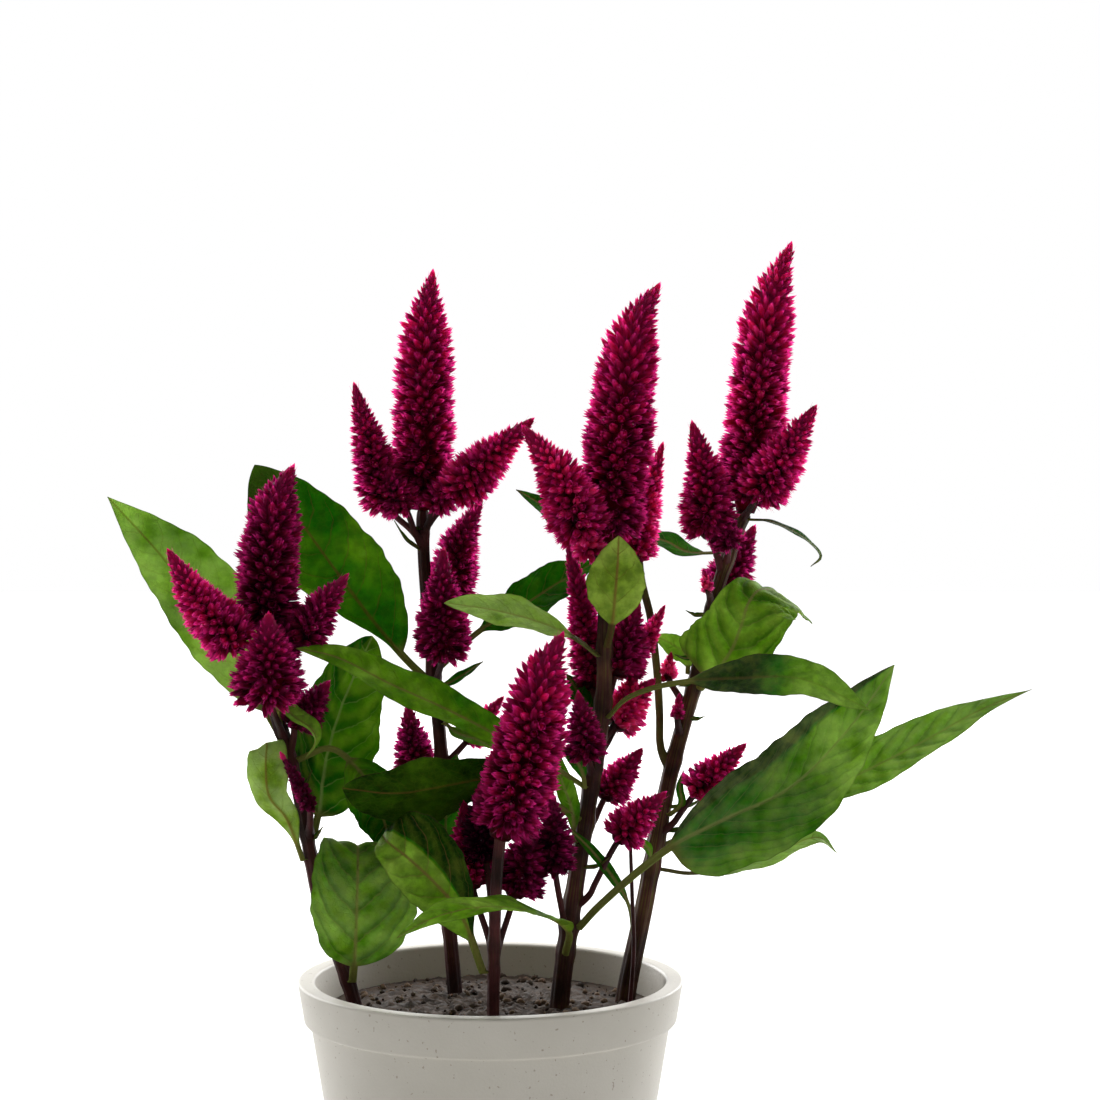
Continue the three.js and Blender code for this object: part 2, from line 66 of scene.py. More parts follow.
# Each stem: its radius where it leaves the potting mix and at its top, its tone from maroon (low) to olive, and its
# way up as [across, up, depth].
STEMS = {
    "far_left": dict(radius=(2.8, 2.0), tone=-0.08, path=[(-49, 98, -14), (-62, 138, -16), (-67, 165, -18),
        (-72.5, 191, -20), (-79, 212, -21), (-79.6, 236, -22)]),
    "left": dict(radius=(2.9, 2.2), tone=-0.06, path=[(-12.5, 98, 20), (-15.5, 138, 26), (-17.6, 190, 30),
        (-21.6, 233, 33), (-23.8, 262, 34), (-24.2, 282, 35)]),
    "centre": dict(radius=(3.7, 2.5), tone=0.06, path=[(25, 98, -2), (30, 138, -2), (36, 177, -1), (40.6, 208, 0),
        (41.3, 240, 1), (42.5, 270, 2)]),
    "right": dict(radius=(3.8, 2.3), tone=0.1, path=[(48.5, 98, 12), (56.2, 138, 13), (65, 184, 17), (74, 218, 20),
        (80.8, 248, 23), (92, 281, 26)]),
    # The front stem's tone is set low as painted shade, since it stands in more light than the others.
    "front": dict(radius=(2.3, 2.0), tone=-0.1, path=[(1, 98, -36), (1.8, 138, -42), (2.6, 152, -45), (3.8, 163, -47)]),
}

# Each flower spike: its stem, the height there where a side spike's stalk leaves it (none on a main spike), its
# radius over the florets' tips and its way from base to tip, with `via`, places that its stalk passes. Then its
# look: `full`, how much wider the florets reach than the radius, `tone`, how pale they are, set low as painted shade
# for spikes that lie in shadow and high as painted light for lit ones, and `nudge`, how far they stand from the CAD
# core, across and up.
SPIKES = {
    "far_left_main_spike": spike("far_left", None, 11.5, (-79.6, 238, -22), (-80, 255, -22), (-78.8, 271, -22),
        (-76, 284.5, -21), (-70.2, 297, -20), full=1.02, tone=0.63),
    "far_left_spike_outer": spike("far_left", 219, 9, (-91, 231, -33), (-104.8, 247, -36), (-116.3, 266.5, -38),
        full=1.16, tone=0.95),
    "far_left_spike_inner": spike("far_left", 221, 8, (-67, 232, -26), (-59, 245, -22), (-49.7, 257, -18), tone=0.65,
        nudge=(-1.2, 0.4)),
    "far_left_spike_front": spike("far_left", 203, 11.5, (-79.9, 211, -40), (-79.9, 225, -44), (-79.9, 242, -46),
        full=1.14, tone=0.66, nudge=(0, 1.6)),
    "far_left_spike_lower": spike("far_left", 198, 7, (-69.8, 204.5, -24), (-63.4, 212, -22), (-57.2, 220.4, -20),
        full=1.2, tone=0.48, nudge=(-0.6, -1.6)),
    "far_left_spike_stem": spike("far_left", 167, 4.5, (-65.5, 172, -26), (-69.6, 181, -29), (-76, 192.7, -34),
        full=0.8, tone=0.33),
    "left_main_spike": spike("left", None, 10.8, (-24.2, 283, 35), (-23.8, 303, 35), (-23.4, 327, 35), (-22.4, 350, 34),
        (-20.2, 366.6, 33), full=1.12, tone=0.89),
    "left_spike_outer": spike("left", 270, 8.2, (-37, 281, 30), (-43.2, 302.5, 28), (-49.3, 326, 26), full=1.14,
        tone=0.8, nudge=(0.5, 0.3)),
    "left_spike_inner": spike("left", 274, 8.6, (-12.5, 286, 25), (-1.8, 297.5, 19), (15.8, 313.3, 15), full=1.18,
        tone=0.98, nudge=(0.4, 0.2)),
    "left_spike_behind": spike("left", 243, 7.5, (-13.7, 249, 38), (-9.4, 267.6, 40), (-1.1, 285, 41), full=1.32,
        tone=0.72, nudge=(-1.6, 0)),
    "left_spike_middle": spike("left", 216, 10.8, (-17.4, 224, 22), (-17.6, 242.4, 19), (-16.9, 263.3, 18), full=1.0,
        tone=0.6, nudge=(0.3, 3.6)),
    "left_spike_low_outer": spike("left", 176, 7.2, (-27.7, 185, 32), (-29.6, 197, 34), (-31.3, 209.6, 35), full=1.18,
        tone=0.48, nudge=(1.4, 1.2)),
    "left_spike_low_inner": spike("left", 186, 5.8, (-8, 197, 30), (-1.8, 204.5, 31), (5, 213, 32)),
    "centre_main_spike": spike("centre", None, 11.2, (42.8, 271, 2), (45.7, 298, 2), (48.8, 327, 2), (52.8, 347, 3),
        (61.2, 362, 4), full=1.17, tone=0.9),
    "centre_spike_left": spike("centre", 262, 9, (35, 271, -8), (25.6, 292, -11), (12.2, 310.4, -13), full=1.28,
        tone=1.05, nudge=(-0.8, 0.5)),
    "centre_spike_tall_left": spike("centre", 210, 6.2, (36.6, 217, 9), (33.6, 242, 10), (27.7, 270, 11), full=1.2,
        tone=0.8),
    "centre_spike_right": spike("centre", 212, 7, (47.5, 220, 8), (51.5, 234, 11), (55.8, 247, 12), full=1.55,
        tone=0.68, nudge=(-2.2, 1.3)),
    "centre_spike_right_low": spike("centre", 194, 6.4, (45.6, 202, 8), (51, 210, 10), (59.4, 219, 11), full=1.4,
        tone=1.25, nudge=(0.3, 0.4)),
    "centre_spike_front": spike("centre", 187, 7.4, (35, 191.5, -10), (33.4, 202, -13), (31.7, 215, -14), full=1.12,
        tone=0.56),
    "centre_spike_low_right": spike("centre", 166, 6.8, (43, 176.5, 7), (49.3, 185, 8), (56.5, 194.2, 8), full=1.22,
        tone=0.8, nudge=(-1.2, 0)),
    "centre_spike_bottom_right": spike("centre", 139, 7.6, (45.6, 159, -8), (53.3, 167.6, -8), (62.6, 176.2, -8),
        full=1.12, tone=0.88, nudge=(1.2, 2)),
    "right_main_spike": spike("right", None, 11.2, (92.6, 283, 26), (94.3, 302.5, 27), (96.7, 327, 28), (101, 356, 29),
        (108, 376.7, 30), tone=0.98, nudge=(0.1, 0)),
    "right_spike_left": spike("right", 259, 9.4, (79, 272, 17), (77.4, 292, 14), (72.4, 312.6, 12), full=1.12,
        tone=0.85),
    "right_spike_right": spike("right", 278, 9.7, (97.5, 284, 17), (107.3, 299.3, 12), (118.4, 317, 9), tone=0.95,
        nudge=(-1, 1.3)),
    "right_spike_behind": spike("right", 243, 7, (85, 252, 34), (91, 264, 37), (97.2, 276.2, 39), full=1.35, tone=0.62,
        nudge=(-1.7, -1.2)),
    "right_spike_low": spike("right", 163, 6.1, (73.8, 177, 8), (81.5, 185, 6), (92.2, 195.2, 5), full=1.32, tone=0.92,
        nudge=(0.6, 0.7)),
    "right_branch_spike": spike("right", 187, 7.8, (54.6, 262, 24), (58.3, 284, 25), (63.7, 304, 25),
        via=[(60.2, 222, 22), (57.2, 245, 24)], full=1.0, tone=1.15, nudge=(-1.5, 0.8)),
    "front_main_spike": spike("front", None, 12.6, (4.3, 164.6, -47), (8.3, 178, -48), (14, 200, -49), (18.4, 221, -50),
        (25.6, 236.6, -50), full=1.04, tone=0.9, nudge=(1.1, 0)),
    "front_spike_left": spike("front", 130, 8.2, (-5, 144, -27), (-6.2, 160, -25), (-8.2, 175, -24), full=1.2,
        tone=0.85, nudge=(-1.5, 0)),
    "front_spike_right": spike("centre", 130, 6.8, (23.4, 150, -22), (22.6, 165, -25), (21.8, 179.4, -26), full=1.25,
        tone=0.35),
    "front_spike_low": spike("front", 128, 8.4, (9, 141, -26), (12.6, 155, -27), (16.6, 170, -27), full=1.25,
        tone=0.55),
}
# Smaller ones that CAD leaves out.
BUDS = {
    "bud_right_stem": spike("right", 246, 2.4, (78.6, 251, 16), (76.8, 259, 14), tone=1.4),
    "bud_behind_right": spike("right", 209, 2.8, (64.6, 219, 22), (64.4, 223.5, 23), (65.4, 229, 23), full=1.5,
        tone=1.5),
    "bud_beside_right": spike("right", 199, 2.6, (67.6, 204.6, 12), (68.4, 214, 11), tone=0.8),
    "bud_second_tip": spike("centre", 224, 4.2, (54, 229, 15), (58, 236.5, 17), (63.2, 246, 18), tone=1.08),
    "bud_far_left_top": spike("far_left", 222, 7.5, (-76, 227, -28), (-74, 235, -28), (-70.5, 245, -26), tone=0.5),
    "bud_front_left": spike("front", 140, 7, (-1.5, 152, -32), (-4, 166, -31), (-3.5, 182, -30), tone=0.12),
    "bud_centre_top": spike("centre", 258, 6.5, (37, 262, -6), (34, 267, -9), (31, 274, -11), tone=1.2, nudge=(0, 2)),
    "bud_left_top": spike("left", 268, 8.5, (-30, 280, 28), (-34, 286, 26), (-38, 297, 25), tone=0.68),
    "bud_left_top_right": spike("left", 272, 7, (-20, 281, 28), (-16, 287, 24), (-11, 295, 20), tone=0.78),
    "bud_centre_low_gap": spike("centre", 198, 6.5, (46, 205, 7), (49, 212, 9), (53, 222, 11), tone=1.3),
    "bud_right_top": spike("right", 262, 6.5, (86, 267, 17), (84, 273, 14), (82.5, 281, 12), tone=0.52),
}
# Tables of a value by share of the spike's length, from base to tip: the outline over the florets and the heart in it,
# coloured dark as painted shade between the florets, as shares of the radius and the outline, and the florets' tilt
# from the spike's way, in degrees.
MAIN_OUTLINE = (0, 0.66), (0.04, 0.92), (0.1, 1), (0.45, 0.98), (0.64, 0.88), (0.77, 0.68), (0.9, 0.33), (1, 0.07)
SIDE_OUTLINE = ((0, 0.62), (0.05, 0.92), (0.14, 1.02), (0.3, 0.98), (0.5, 0.82), (0.7, 0.57), (0.85, 0.33),
                (0.95, 0.15), (1, 0.06))
HEART = (0, 0.42), (0.5, 0.42), (0.8, 0.66), (1, 0.8)
TILT = (0, 122), (0.05, 106), (0.1, 93), (0.2, 84), (0.45, 76), (0.65, 67), (0.8, 57), (0.92, 40), (1, 10)

# Each leaf: its stem, the height there where it leaves it, its stalk's share of its length, its width, the way its
# upper side faces, its fold in degrees, and its way. Then its look. Outline: `peak`, its widest place, `full`, how
# pointed it is, `sides`, its halves' widths, left and right, and `skew`, which moves their widest places. Against CAD:
# `nudge` moves it and `lean` its tip, across and up, `wide` is its width by the CAD one, and `slim` its stalk's share
# and widest place. Relief: `quilt`, how deep it swells between its veins, and `slant`, how they slope; `quilt` also
# sets how strongly that swell is painted in shade and light. Colour: `tone` from dark (0) to pale (1) green, its own
# green set lower as painted shade on leaves that lie in shadow, `fade`, how it gets paler to its tip, `rib`, its veins
# from red-brown (0) to cream (1), `lines`, how plain they are, `dust`, a grey bloom that is partly painted sheen,
# `patch`, pale patches, `tip`, a brown tip, `stem_tone`, how dark its stalk is, and `strip`, painted
# shade (below 0) and painted light (above 0) added to the tone of its left and right margins, from
# `strip_from` outwards.
LEAVES = {
    "leaf_far_left_big": leaf("far_left", 203, 0.08, 36, (0.2, -0.9, 0.35), 12, (-84, 213, -12), (-95, 233, 0),
        (-117, 262, 10), (-137.5, 285, 14), tone=0.9, rib=0.1, quilt=0.6, patch=0.3, dust=0.6, wide=0.93, slant=0.9,
        lines=0.55, sides=(0.84, 1.08)),
    "leaf_left_big": leaf("left", 217, 0.1, 38, (-0.15, -0.95, 0.25), 14, (-30, 226, 30), (-42, 240, 28),
        (-56, 259, 22), (-69, 277, 18), (-84.6, 296.5, 22), peak=0.45, tone=0.52, rib=0.0, quilt=0.8, slim=(0.12, 0.5),
        tip=0.9, slant=0.7, sides=(0.9, 0.97), skew=(1.7, 0.8)),
    "leaf_far_left_upright": leaf("far_left", 165, 0.08, 38, (0.55, -0.8, 0.2), 24, (-62, 173, -11), (-59.5, 190, -4),
        (-53.5, 210, 2), (-42.5, 234.8, 6), peak=0.52, tone=0.62, rib=1.0, quilt=2.3, patch=0.2, wide=0.96, slant=0.7,
        full=1.35, fade=0.2, sides=(1.0, 0.88), strip=(-0.3, 0), strip_from=0.3, skew=(0.85, 0.72)),
    "leaf_centre_crossing": leaf("centre", 180, 0.2, 24, (0, -0.7, 0.71), 14, (20, 192, -20), (3.6, 200.5, -24),
        (-15, 209.6, -26), (-34, 217.6, -28), (-54, 227, -31), (-68, 229.5, -34), peak=0.5, tone=0.7, rib=0.2,
        patch=0.1, nudge=(-1, -2.5), lines=0.5, wide=0.72, sides=(0.82, 1.0), lean=(-1, 3.2)),
    "leaf_far_left_low": leaf("far_left", 157, 0.1, 14, (0.25, 0.9, 0.35), 12, (-75, 165, -25), (-81.2, 173, -28),
        (-82.4, 184, -29), (-82, 192, -26), (-83, 191, -18), peak=0.62, tone=0.9, rib=0.0, quilt=0.3, dust=0.95,
        nudge=(1.2, 3.4), wide=1.1, lines=0.8),
    "leaf_centre_dark": leaf("centre", 168, 0.3, 31, (0, 0.75, 0.65), 10, (16, 180.5, -20), (-2, 186, -27),
        (-15, 184, -30), (-34, 181, -33), (-53.6, 182.8, -36), peak=0.56, tone=0.06, rib=0.0, quilt=1.2,
        nudge=(0, -3.2), lines=0.2, sides=(0.85, 1.35)),
    "leaf_far_left_drooping": leaf("far_left", 192, 0.3, 20, (-0.2, -0.8, 0.5), 12, (-58, 194, -19), (-47.5, 186, -14),
        (-40, 172, -6), (-35, 153, 4), tone=0.38, quilt=1.6, fade=-0.4),
    "leaf_left_low": leaf("far_left", 112, 0.12, 42, (0.12, -0.92, 0.4), 10, (-46, 122, -30), (-45.4, 138, -31),
        (-45, 151, -28), (-45, 158.5, -20), (-45.5, 155, -11), (-46, 146, -6), tone=0.74, quilt=1.9, dust=0.5,
        sides=(0.78, 1.0), nudge=(-3, 0)),
    "leaf_left_tall": leaf("left", 124, 0.2, 22, (-0.3, -0.9, 0.3), 16, (-15, 142, 9), (-16, 158, 2), (-15.5, 176, 1),
        (-12, 192, 6), peak=0.45, tone=0.36, quilt=1.4),
    "leaf_front_broad": leaf("front", 120, 0.18, 32, (-0.25, -0.9, 0.35), 8, (-10, 131, -44), (-19, 142, -46),
        (-28.5, 151, -44), (-36, 157, -37), (-38, 160, -26), peak=0.45, tone=0.86, rib=0.1, quilt=1.3, patch=0.15,
        sides=(0.66, 1.02), skew=(1, 1.6), strip=(0, -1.05), nudge=(-1, 2.5), strip_from=0.3),
    "leaf_front_low": leaf("centre", 120, 0.2, 22, (0, -0.2, 1), 8, (28, 131.5, -26), (15, 138.5, -52), (-4, 140, -68),
        (-21, 136, -76), (-34, 129, -80), peak=0.5, tone=0.75, rib=0.2, nudge=(0, -4)),
    "leaf_left_inner": leaf("left", 220, 0.28, 21, (0.15, -0.7, 0.7), 14, (-9, 233, 33), (0, 240, 32), (11, 246, 28),
        (24, 254.5, 25), (38, 262.5, 24), peak=0.5, tone=0.36, rib=0.2, nudge=(0, -1), wide=0.92),
    "leaf_centre_pale": leaf("centre", 228, 0.22, 19, (0, -0.5, 0.86), 10, (31, 233.5, -8), (20, 238.8, -12),
        (3.6, 243.5, -14), (-16.6, 246.7, -14), peak=0.5, tone=1.05, rib=0.4, dust=0.6, lines=0.6, stem_tone=0.8),
    "leaf_centre_small": leaf("centre", 231, 0.24, 21, (0, 1, 0.1), 8, (42, 239, -10), (43, 249.6, -16),
        (43.9, 260.4, -19), (44.3, 271, -19), peak=0.48, tone=0.84, rib=0.0, quilt=0.4, patch=0.2, nudge=(2, 0),
        stem_tone=0.9),
    "leaf_right_arched": leaf("right", 214, 0.1, 34, (-0.1, -0.95, 0.35), -8, (82, 225, 9), (86, 232, 3),
        (88.5, 240, 0), (90.5, 247.5, 2), (94, 252, 8), (99, 251.5, 15), (105, 247, 21), (112, 239.5, 25), peak=0.5,
        tone=0.8, quilt=2.0, nudge=(1.4, -0.9), wide=1.04, patch=0.2, slim=(0.06, 0.3), full=1.5, sides=(1.02, 1.0),
        skew=(0.55, 1.9), lean=(3, 0.5)),
    "leaf_centre_long": leaf("centre", 206, 0.36, 25, (0, -0.7, 0.71), 12, (48.6, 213.6, -9), (57.6, 217.6, -14),
        (71.6, 220.4, -20), (91, 221.6, -26), (112, 221.4, -30), (137.5, 209.8, -32), peak=0.45, tone=0.42, rib=0.2,
        quilt=0.9, dust=0.15, nudge=(0, -2.2), fade=1.0, patch=0.2, slant=1.8, lines=0.15, wide=0.74),
    "leaf_centre_big": leaf("centre", 130, 0.24, 38, (0.2, -0.85, 0.45), 20, (39.6, 142.5, -10), (64.4, 162, -16),
        (84, 171, -18), (108, 181.5, -15), (130, 203, -6), (145, 223.3, 0), peak=0.5, tone=0.64, rib=0.65, quilt=1.5,
        patch=0.35, dust=0.5, nudge=(0.3, -5.8), slim=(0.3, 0.44), wide=0.97, slant=2.1, fade=0.4, sides=(0.86, 1.08),
        strip=(-0.8, 0.12), lean=(0.6, 6.8), skew=(1.12, 0.6), lines=0.75),
    "leaf_right_low": leaf("right", 148, 0.2, 19, (0, -0.45, 0.9), 10, (72, 151, 11), (88, 153.5, 8), (103, 158.5, 6),
        (118, 164, 6), (125, 158.5, 7), peak=0.5, tone=0.86, dust=1.0, wide=0.72, patch=0.6, full=2.2,
        nudge=(0.6, -2.8), stem_tone=0.7),
    "leaf_right_far": leaf("right", 157, 0.25, 24, (-0.1, -0.78, 0.62), 12, (82, 166, 20), (105, 173, 19),
        (130, 183, 16), (155, 195.6, 12), (176.4, 207.5, 9), (195.5, 215.4, 8), tone=0.74, rib=0.5, quilt=2.0, dust=0.8,
        patch=0.5, slant=1.7, sides=(0.92, 0.72), full=2.2),
    "leaf_right_hooked": leaf("right", 276, 0.08, 5, (0.3, -0.3, 0.9), 10, (99, 277.2, 20), (106, 274.5, 18),
        (113.5, 270, 17), (118, 264.5, 16), (114.5, 260.8, 15), tone=0.3, nudge=(1, -1)),
    "leaf_right_back": leaf("right", 262, 0.15, 13, (0, -0.5, 0.86), 10, (75.6, 265, 31), (68, 268.7, 36),
        (59.4, 271.4, 40), (48.6, 278.4, 43), tone=0.35, nudge=(-4.5, 0), wide=0.8),
    "leaf_centre_back": leaf("centre", 256, 0.15, 13, (0, -0.5, 0.86), 10, (35, 265, 10), (25.2, 275, 13),
        (16.2, 281.5, 14), (9.4, 285.6, 14), tone=0.35, nudge=(0, 2)),
}
# What the photograph shows besides, too small for CAD: small leaves in the same form, pointed bracts (stem, height,
# tip), and bare twigs (radius, way).
SMALL_LEAVES = {
    "small_leaf_far_left": leaf("far_left", 205, 0.1, 8.5, (0.4, -0.5, 0.75), 30, (-76, 209, -31), (-70.2, 204.6, -33),
        (-64.6, 200.5, -33), (-63.4, 196, -31), (-67, 190.4, -28), tone=0.72, rib=0.2),
    "small_leaf_left": leaf("left", 213, 0.15, 4.6, (0, -0.6, 0.8), 14, (-15, 217.5, 25), (-9, 221, 24),
        (-2.5, 225.5, 24), tone=0.45, rib=0.2),
    "small_leaf_left_low": leaf("left", 199, 0.12, 6.5, (0, -0.6, 0.8), 14, (-12, 199.5, 24), (-5, 197, 20),
        (3, 193, 15), tone=0.75),
    "small_leaf_centre_dark": leaf("centre", 203, 0.15, 9, (0.3, -0.9, 0.3), 14, (36.5, 208, 7), (32, 214, 9),
        (27.5, 221, 9), tone=0.1, rib=0.2),
    "small_leaf_between": leaf("right", 218, 0.12, 9, (-0.2, -0.9, 0.4), 12, (71, 227, 25), (66, 231.5, 27),
        (58.5, 235, 28), tone=1.1, patch=0.4),
    "small_leaf_low_narrow": leaf("right", 124, 0.3, 5, (0.3, -0.8, 0.5), 16, (49.3, 138.4, -1), (37.4, 155.6, -8),
        (26.6, 166.4, -12), tone=0.35),
    "small_leaf_centre_light": leaf("centre", 160, 0.12, 7.5, (0.2, -0.9, 0.4), 18, (31, 169, -8), (27, 181, -11),
        (22.8, 196.5, -12), nudge=(-1.5, 2), tone=0.68, rib=0.4, patch=0.4),
    "small_leaf_low_bit": leaf("right", 150, 0.15, 4, (0, -0.8, 0.6), 12, (57.6, 156.5, 8), (52.4, 161.8, 4),
        tone=0.45),
    "small_leaf_bud_side": leaf("right", 168, 0.2, 3.4, (-0.5, -0.8, 0.3), 14, (69.4, 174, 9), (68.7, 180, 8),
        (70, 186, 8), tone=0.35),
    "small_leaf_centre_top": leaf("centre", 180, 0.2, 5, (-0.3, -0.8, 0.4), 14, (33, 186, -8), (30, 190.5, -10),
        (24, 196, -11), tone=0.3),
}
BRACTS = [
    ("right", 202.5, (77.6, 205.6, 14)), ("right", 205, (66, 209.5, 14)), ("right", 169, (80.4, 178.8, 7)),
    ("right", 160, (76.5, 170, 8)), ("right", 240, (70.5, 244, 20)), ("right", 225, (66.5, 228, 18)),
    ("right", 218, (68, 216.5, 14)), ("far_left", 162, (-60.6, 165.5, -20)), ("left", 271, (-27.5, 274.5, 30)),
    ("left", 262, (-34.5, 276.5, 28)), ("right", 264, (86.5, 270, 15)), ("centre", 158, (30, 161.5, -6)),
    ("centre", 150, (43, 154, -9)), ("far_left", 180, (-64.5, 186, -24)),
]
TWIGS = [(0.85, [(50, 92, -4), (52, 120, -5), (51.4, 140, -6), (50.6, 162, -7)])]


# ---- Curves and frames ----
CURVE_SAMPLES = 60  # per stretch between two points
TANGENT_STEP = 2e-3
CARRY_STEPS = 240


def place(where, across=0.0, up=0.0):
    """A place given as [across, up, depth]: depth is how far behind the pot's upright plane it lies, as EYE sees it."""
    x, z, depth = where
    return EYE + (np.array([x, 0.0, z]) - EYE) * (1 - depth / EYE[1]) + np.array([across, 0.0, up])


def unit(v):
    return v / np.maximum(np.linalg.norm(v, axis=-1, keepdims=True), 1e-12)


def smooth(low, high, x):
    t = np.clip((x - low) / (high - low), 0, 1)
    return t * t * (3 - 2 * t)


def read(table, x):
    return np.interp(x, *np.transpose(table))


def turns(count):
    return np.linspace(0, 2 * math.pi, count, endpoint=False)


def triple(a, b, c):
    """Rows of three numbers from three arrays or numbers."""
    return np.stack(np.broadcast_arrays(a, b, c), axis=-1)


class Curve:
    """A centripetal curve through points, followed by share of its length."""

    def __init__(self, points):
        p = np.asarray(points, float)
        p = np.vstack([2 * p[0] - p[1], p, 2 * p[-1] - p[-2]])
        u = np.linspace(0, 1, CURVE_SAMPLES, endpoint=False)[:, None]
        stretches = []
        for a, b, c, d in zip(p, p[1:], p[2:], p[3:]):
            ab, bc, cd = (math.sqrt(np.linalg.norm(y - x)) for x, y in ((a, b), (b, c), (c, d)))
            leave = ((b - a) / ab - (c - a) / (ab + bc) + (c - b) / bc) * bc
            reach = ((c - b) / bc - (d - b) / (bc + cd) + (d - c) / cd) * bc
            square = 3 * (c - b) - 2 * leave - reach
            cube = 2 * (b - c) + leave + reach
            stretches.append(b + leave * u + square * u**2 + cube * u**3)
        self.places = np.vstack([*stretches, p[-2:-1]])
        lengths = np.concatenate([[0], np.cumsum(np.linalg.norm(np.diff(self.places, axis=0), axis=1))])
        self.length = lengths[-1]
        self.shares = lengths / self.length
        self.knots = self.shares[::CURVE_SAMPLES]

    def at(self, t):
        return np.stack([np.interp(t, self.shares, self.places[:, k]) for k in range(3)], axis=-1)

    def along(self, t):
        ahead = self.at(np.clip(np.asarray(t) + TANGENT_STEP, 0, 1))
        return unit(ahead - self.at(np.clip(np.asarray(t) - TANGENT_STEP, 0, 1)))


def frames_at(curve, t):
    """Square frames on a curve at shares t, whose normals lean backwards: places, sides and normals."""
    tangent = curve.along(t)
    side = unit(np.cross(BACKWARDS, tangent))
    return curve.at(t), side, np.cross(tangent, side)


def turned_along(v, a, b):
    """v turned as the unit vector a turns into b."""
    w = np.cross(a, b)
    c = float(np.dot(a, b))
    return v * c + np.cross(w, v) + w * (np.dot(w, v) / (1 + c))


def carried_frames(curve, t, way, start):
    """The frame that leans to the given way at share `start`, carried along the curve without twist to shares t."""
    grid = np.linspace(0, 1, CARRY_STEPS + 1)
    tangents = curve.along(grid)
    begin = int(round(start * CARRY_STEPS))
    sides = np.zeros_like(tangents)
    sides[begin] = unit(np.cross(way, tangents[begin]))
    for step, stop in ((1, CARRY_STEPS + 1), (-1, -1)):
        for i in range(begin + step, stop, step):
            sides[i] = turned_along(sides[i - step], tangents[i - step], tangents[i])
    side = np.stack([np.interp(t, grid, sides[:, k]) for k in range(3)], axis=-1)
    tangent = curve.along(t)
    side = unit(side - tangent * (side * tangent).sum(axis=-1, keepdims=True))
    return curve.at(t), side, np.cross(tangent, side)


def stem_curve(stem):
    above = [place(p) for p in stem["path"]]
    return Curve([above[0] - np.array([0, 0, ROOTED_DEPTH]), *above])


STEM_CURVES = {name: stem_curve(stem) for name, stem in STEMS.items()}


def stem_radius(name, t):
    foot, top = STEMS[name]["radius"]
    return foot + (top - foot) * t


def stem_share(name, height):
    return float(np.interp(height, STEM_CURVES[name].places[:, 2], STEM_CURVES[name].shares))


def stem_place(name, height):
    return STEM_CURVES[name].at(stem_share(name, height))


def seat_on_stem(name, height, towards, radius):
    """Where a stalk that heads for a point meets its stem: on the stem's skin, a gap clear of it."""
    t = stem_share(name, height)
    axis, along = STEM_CURVES[name].at(t), STEM_CURVES[name].along(t)
    heading = unit(towards - axis)
    lengthwise = float(np.dot(heading, along))
    out = unit(heading - along * lengthwise)
    return axis + out * (stem_radius(name, t) + STALK_GAP + radius * abs(lengthwise))


# ---- Meshes ----
def grid_faces(rows, columns, closed=False):
    """Four-sided faces between rows of points. A closed grid joins its last column to its first."""
    r, c = np.meshgrid(np.arange(rows - 1), np.arange(columns if closed else columns - 1), indexing="ij")
    r, c = r.ravel() * columns, c.ravel()
    n = (c + 1) % columns
    return np.stack([r + c, r + n, r + columns + n, r + columns + c], axis=1)


def tube_faces(rows, columns):
    """The faces of a tube of rows of points, with one across each end."""
    end = np.arange(columns)[None, :]
    return [grid_faces(rows, columns, closed=True), end[:, ::-1], end + (rows - 1) * columns]


def add_object(name, data, where=(0, 0, 0), towards=None):
    made = bpy.data.objects.new(name, data)
    bpy.context.scene.collection.objects.link(made)
    made.location = where
    if towards is not None:
        made.rotation_euler = Vector(towards).to_track_quat("-Z", "Y").to_euler()
    return made


class Shape:
    """Points and faces gathered for one piece. Each point carries marks of three numbers each for its material."""

    def __init__(self):
        self.points, self.faces, self.skins = [], [], []
        self.marks = {title: [] for title in ("mark", "vein", "tint", "spot")}
        self.count = 0

    def add(self, points, faces, *marks, skins=()):
        points = np.asarray(points, float).reshape(-1, 3)
        self.points.append(points)
        for rows, values in zip_longest(self.marks.values(), marks, fillvalue=(0, 0, 0)):
            rows.append(np.broadcast_to(np.asarray(values, float).reshape(-1, 3), points.shape))
        for group, skin in zip_longest(faces, skins, fillvalue=0):
            self.faces.append(group + self.count)
            self.skins.append(np.broadcast_to(skin, len(group)))
        self.count += len(points)

    def piece(self, name, materials, slot, *replaced, crease=None):
        mesh = bpy.data.meshes.new(name)
        mesh.from_pydata(np.vstack(self.points) * MM, [], [face for group in self.faces for face in group.tolist()])
        mesh.polygons.foreach_set("material_index", np.concatenate(self.skins).astype(np.int32))
        mesh.shade_smooth()
        for title, rows in self.marks.items():
            attribute = mesh.attributes.new(title, "FLOAT_VECTOR", "POINT")
            attribute.data.foreach_set("vector", np.vstack(rows).ravel().astype(np.float32))
        for material in materials:
            mesh.materials.append(material)
        if crease:
            mesh.set_sharp_from_angle(angle=math.radians(crease))
        made = add_object(name, mesh)
        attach(made, "root")
        if replaced:
            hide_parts(*replaced)
        return made


def random_for(name):
    """Random numbers of a piece's own, the same in each run."""
    return np.random.default_rng([ord(letter) for letter in name])


# ---- Materials ----
class Wire:
    """A node's output. Arithmetic on it makes math nodes."""

    def __init__(self, nodes, socket):
        self.nodes, self.socket = nodes, socket

    def math(self, operation, *others):
        return self.nodes.new("ShaderNodeMath", dict(enumerate((self, *others))), operation=operation)

    def __add__(self, other):
        return self.math("ADD", other)

    def __sub__(self, other):
        return self.math("SUBTRACT", other)

    def __mul__(self, other):
        return self.math("MULTIPLY", other)


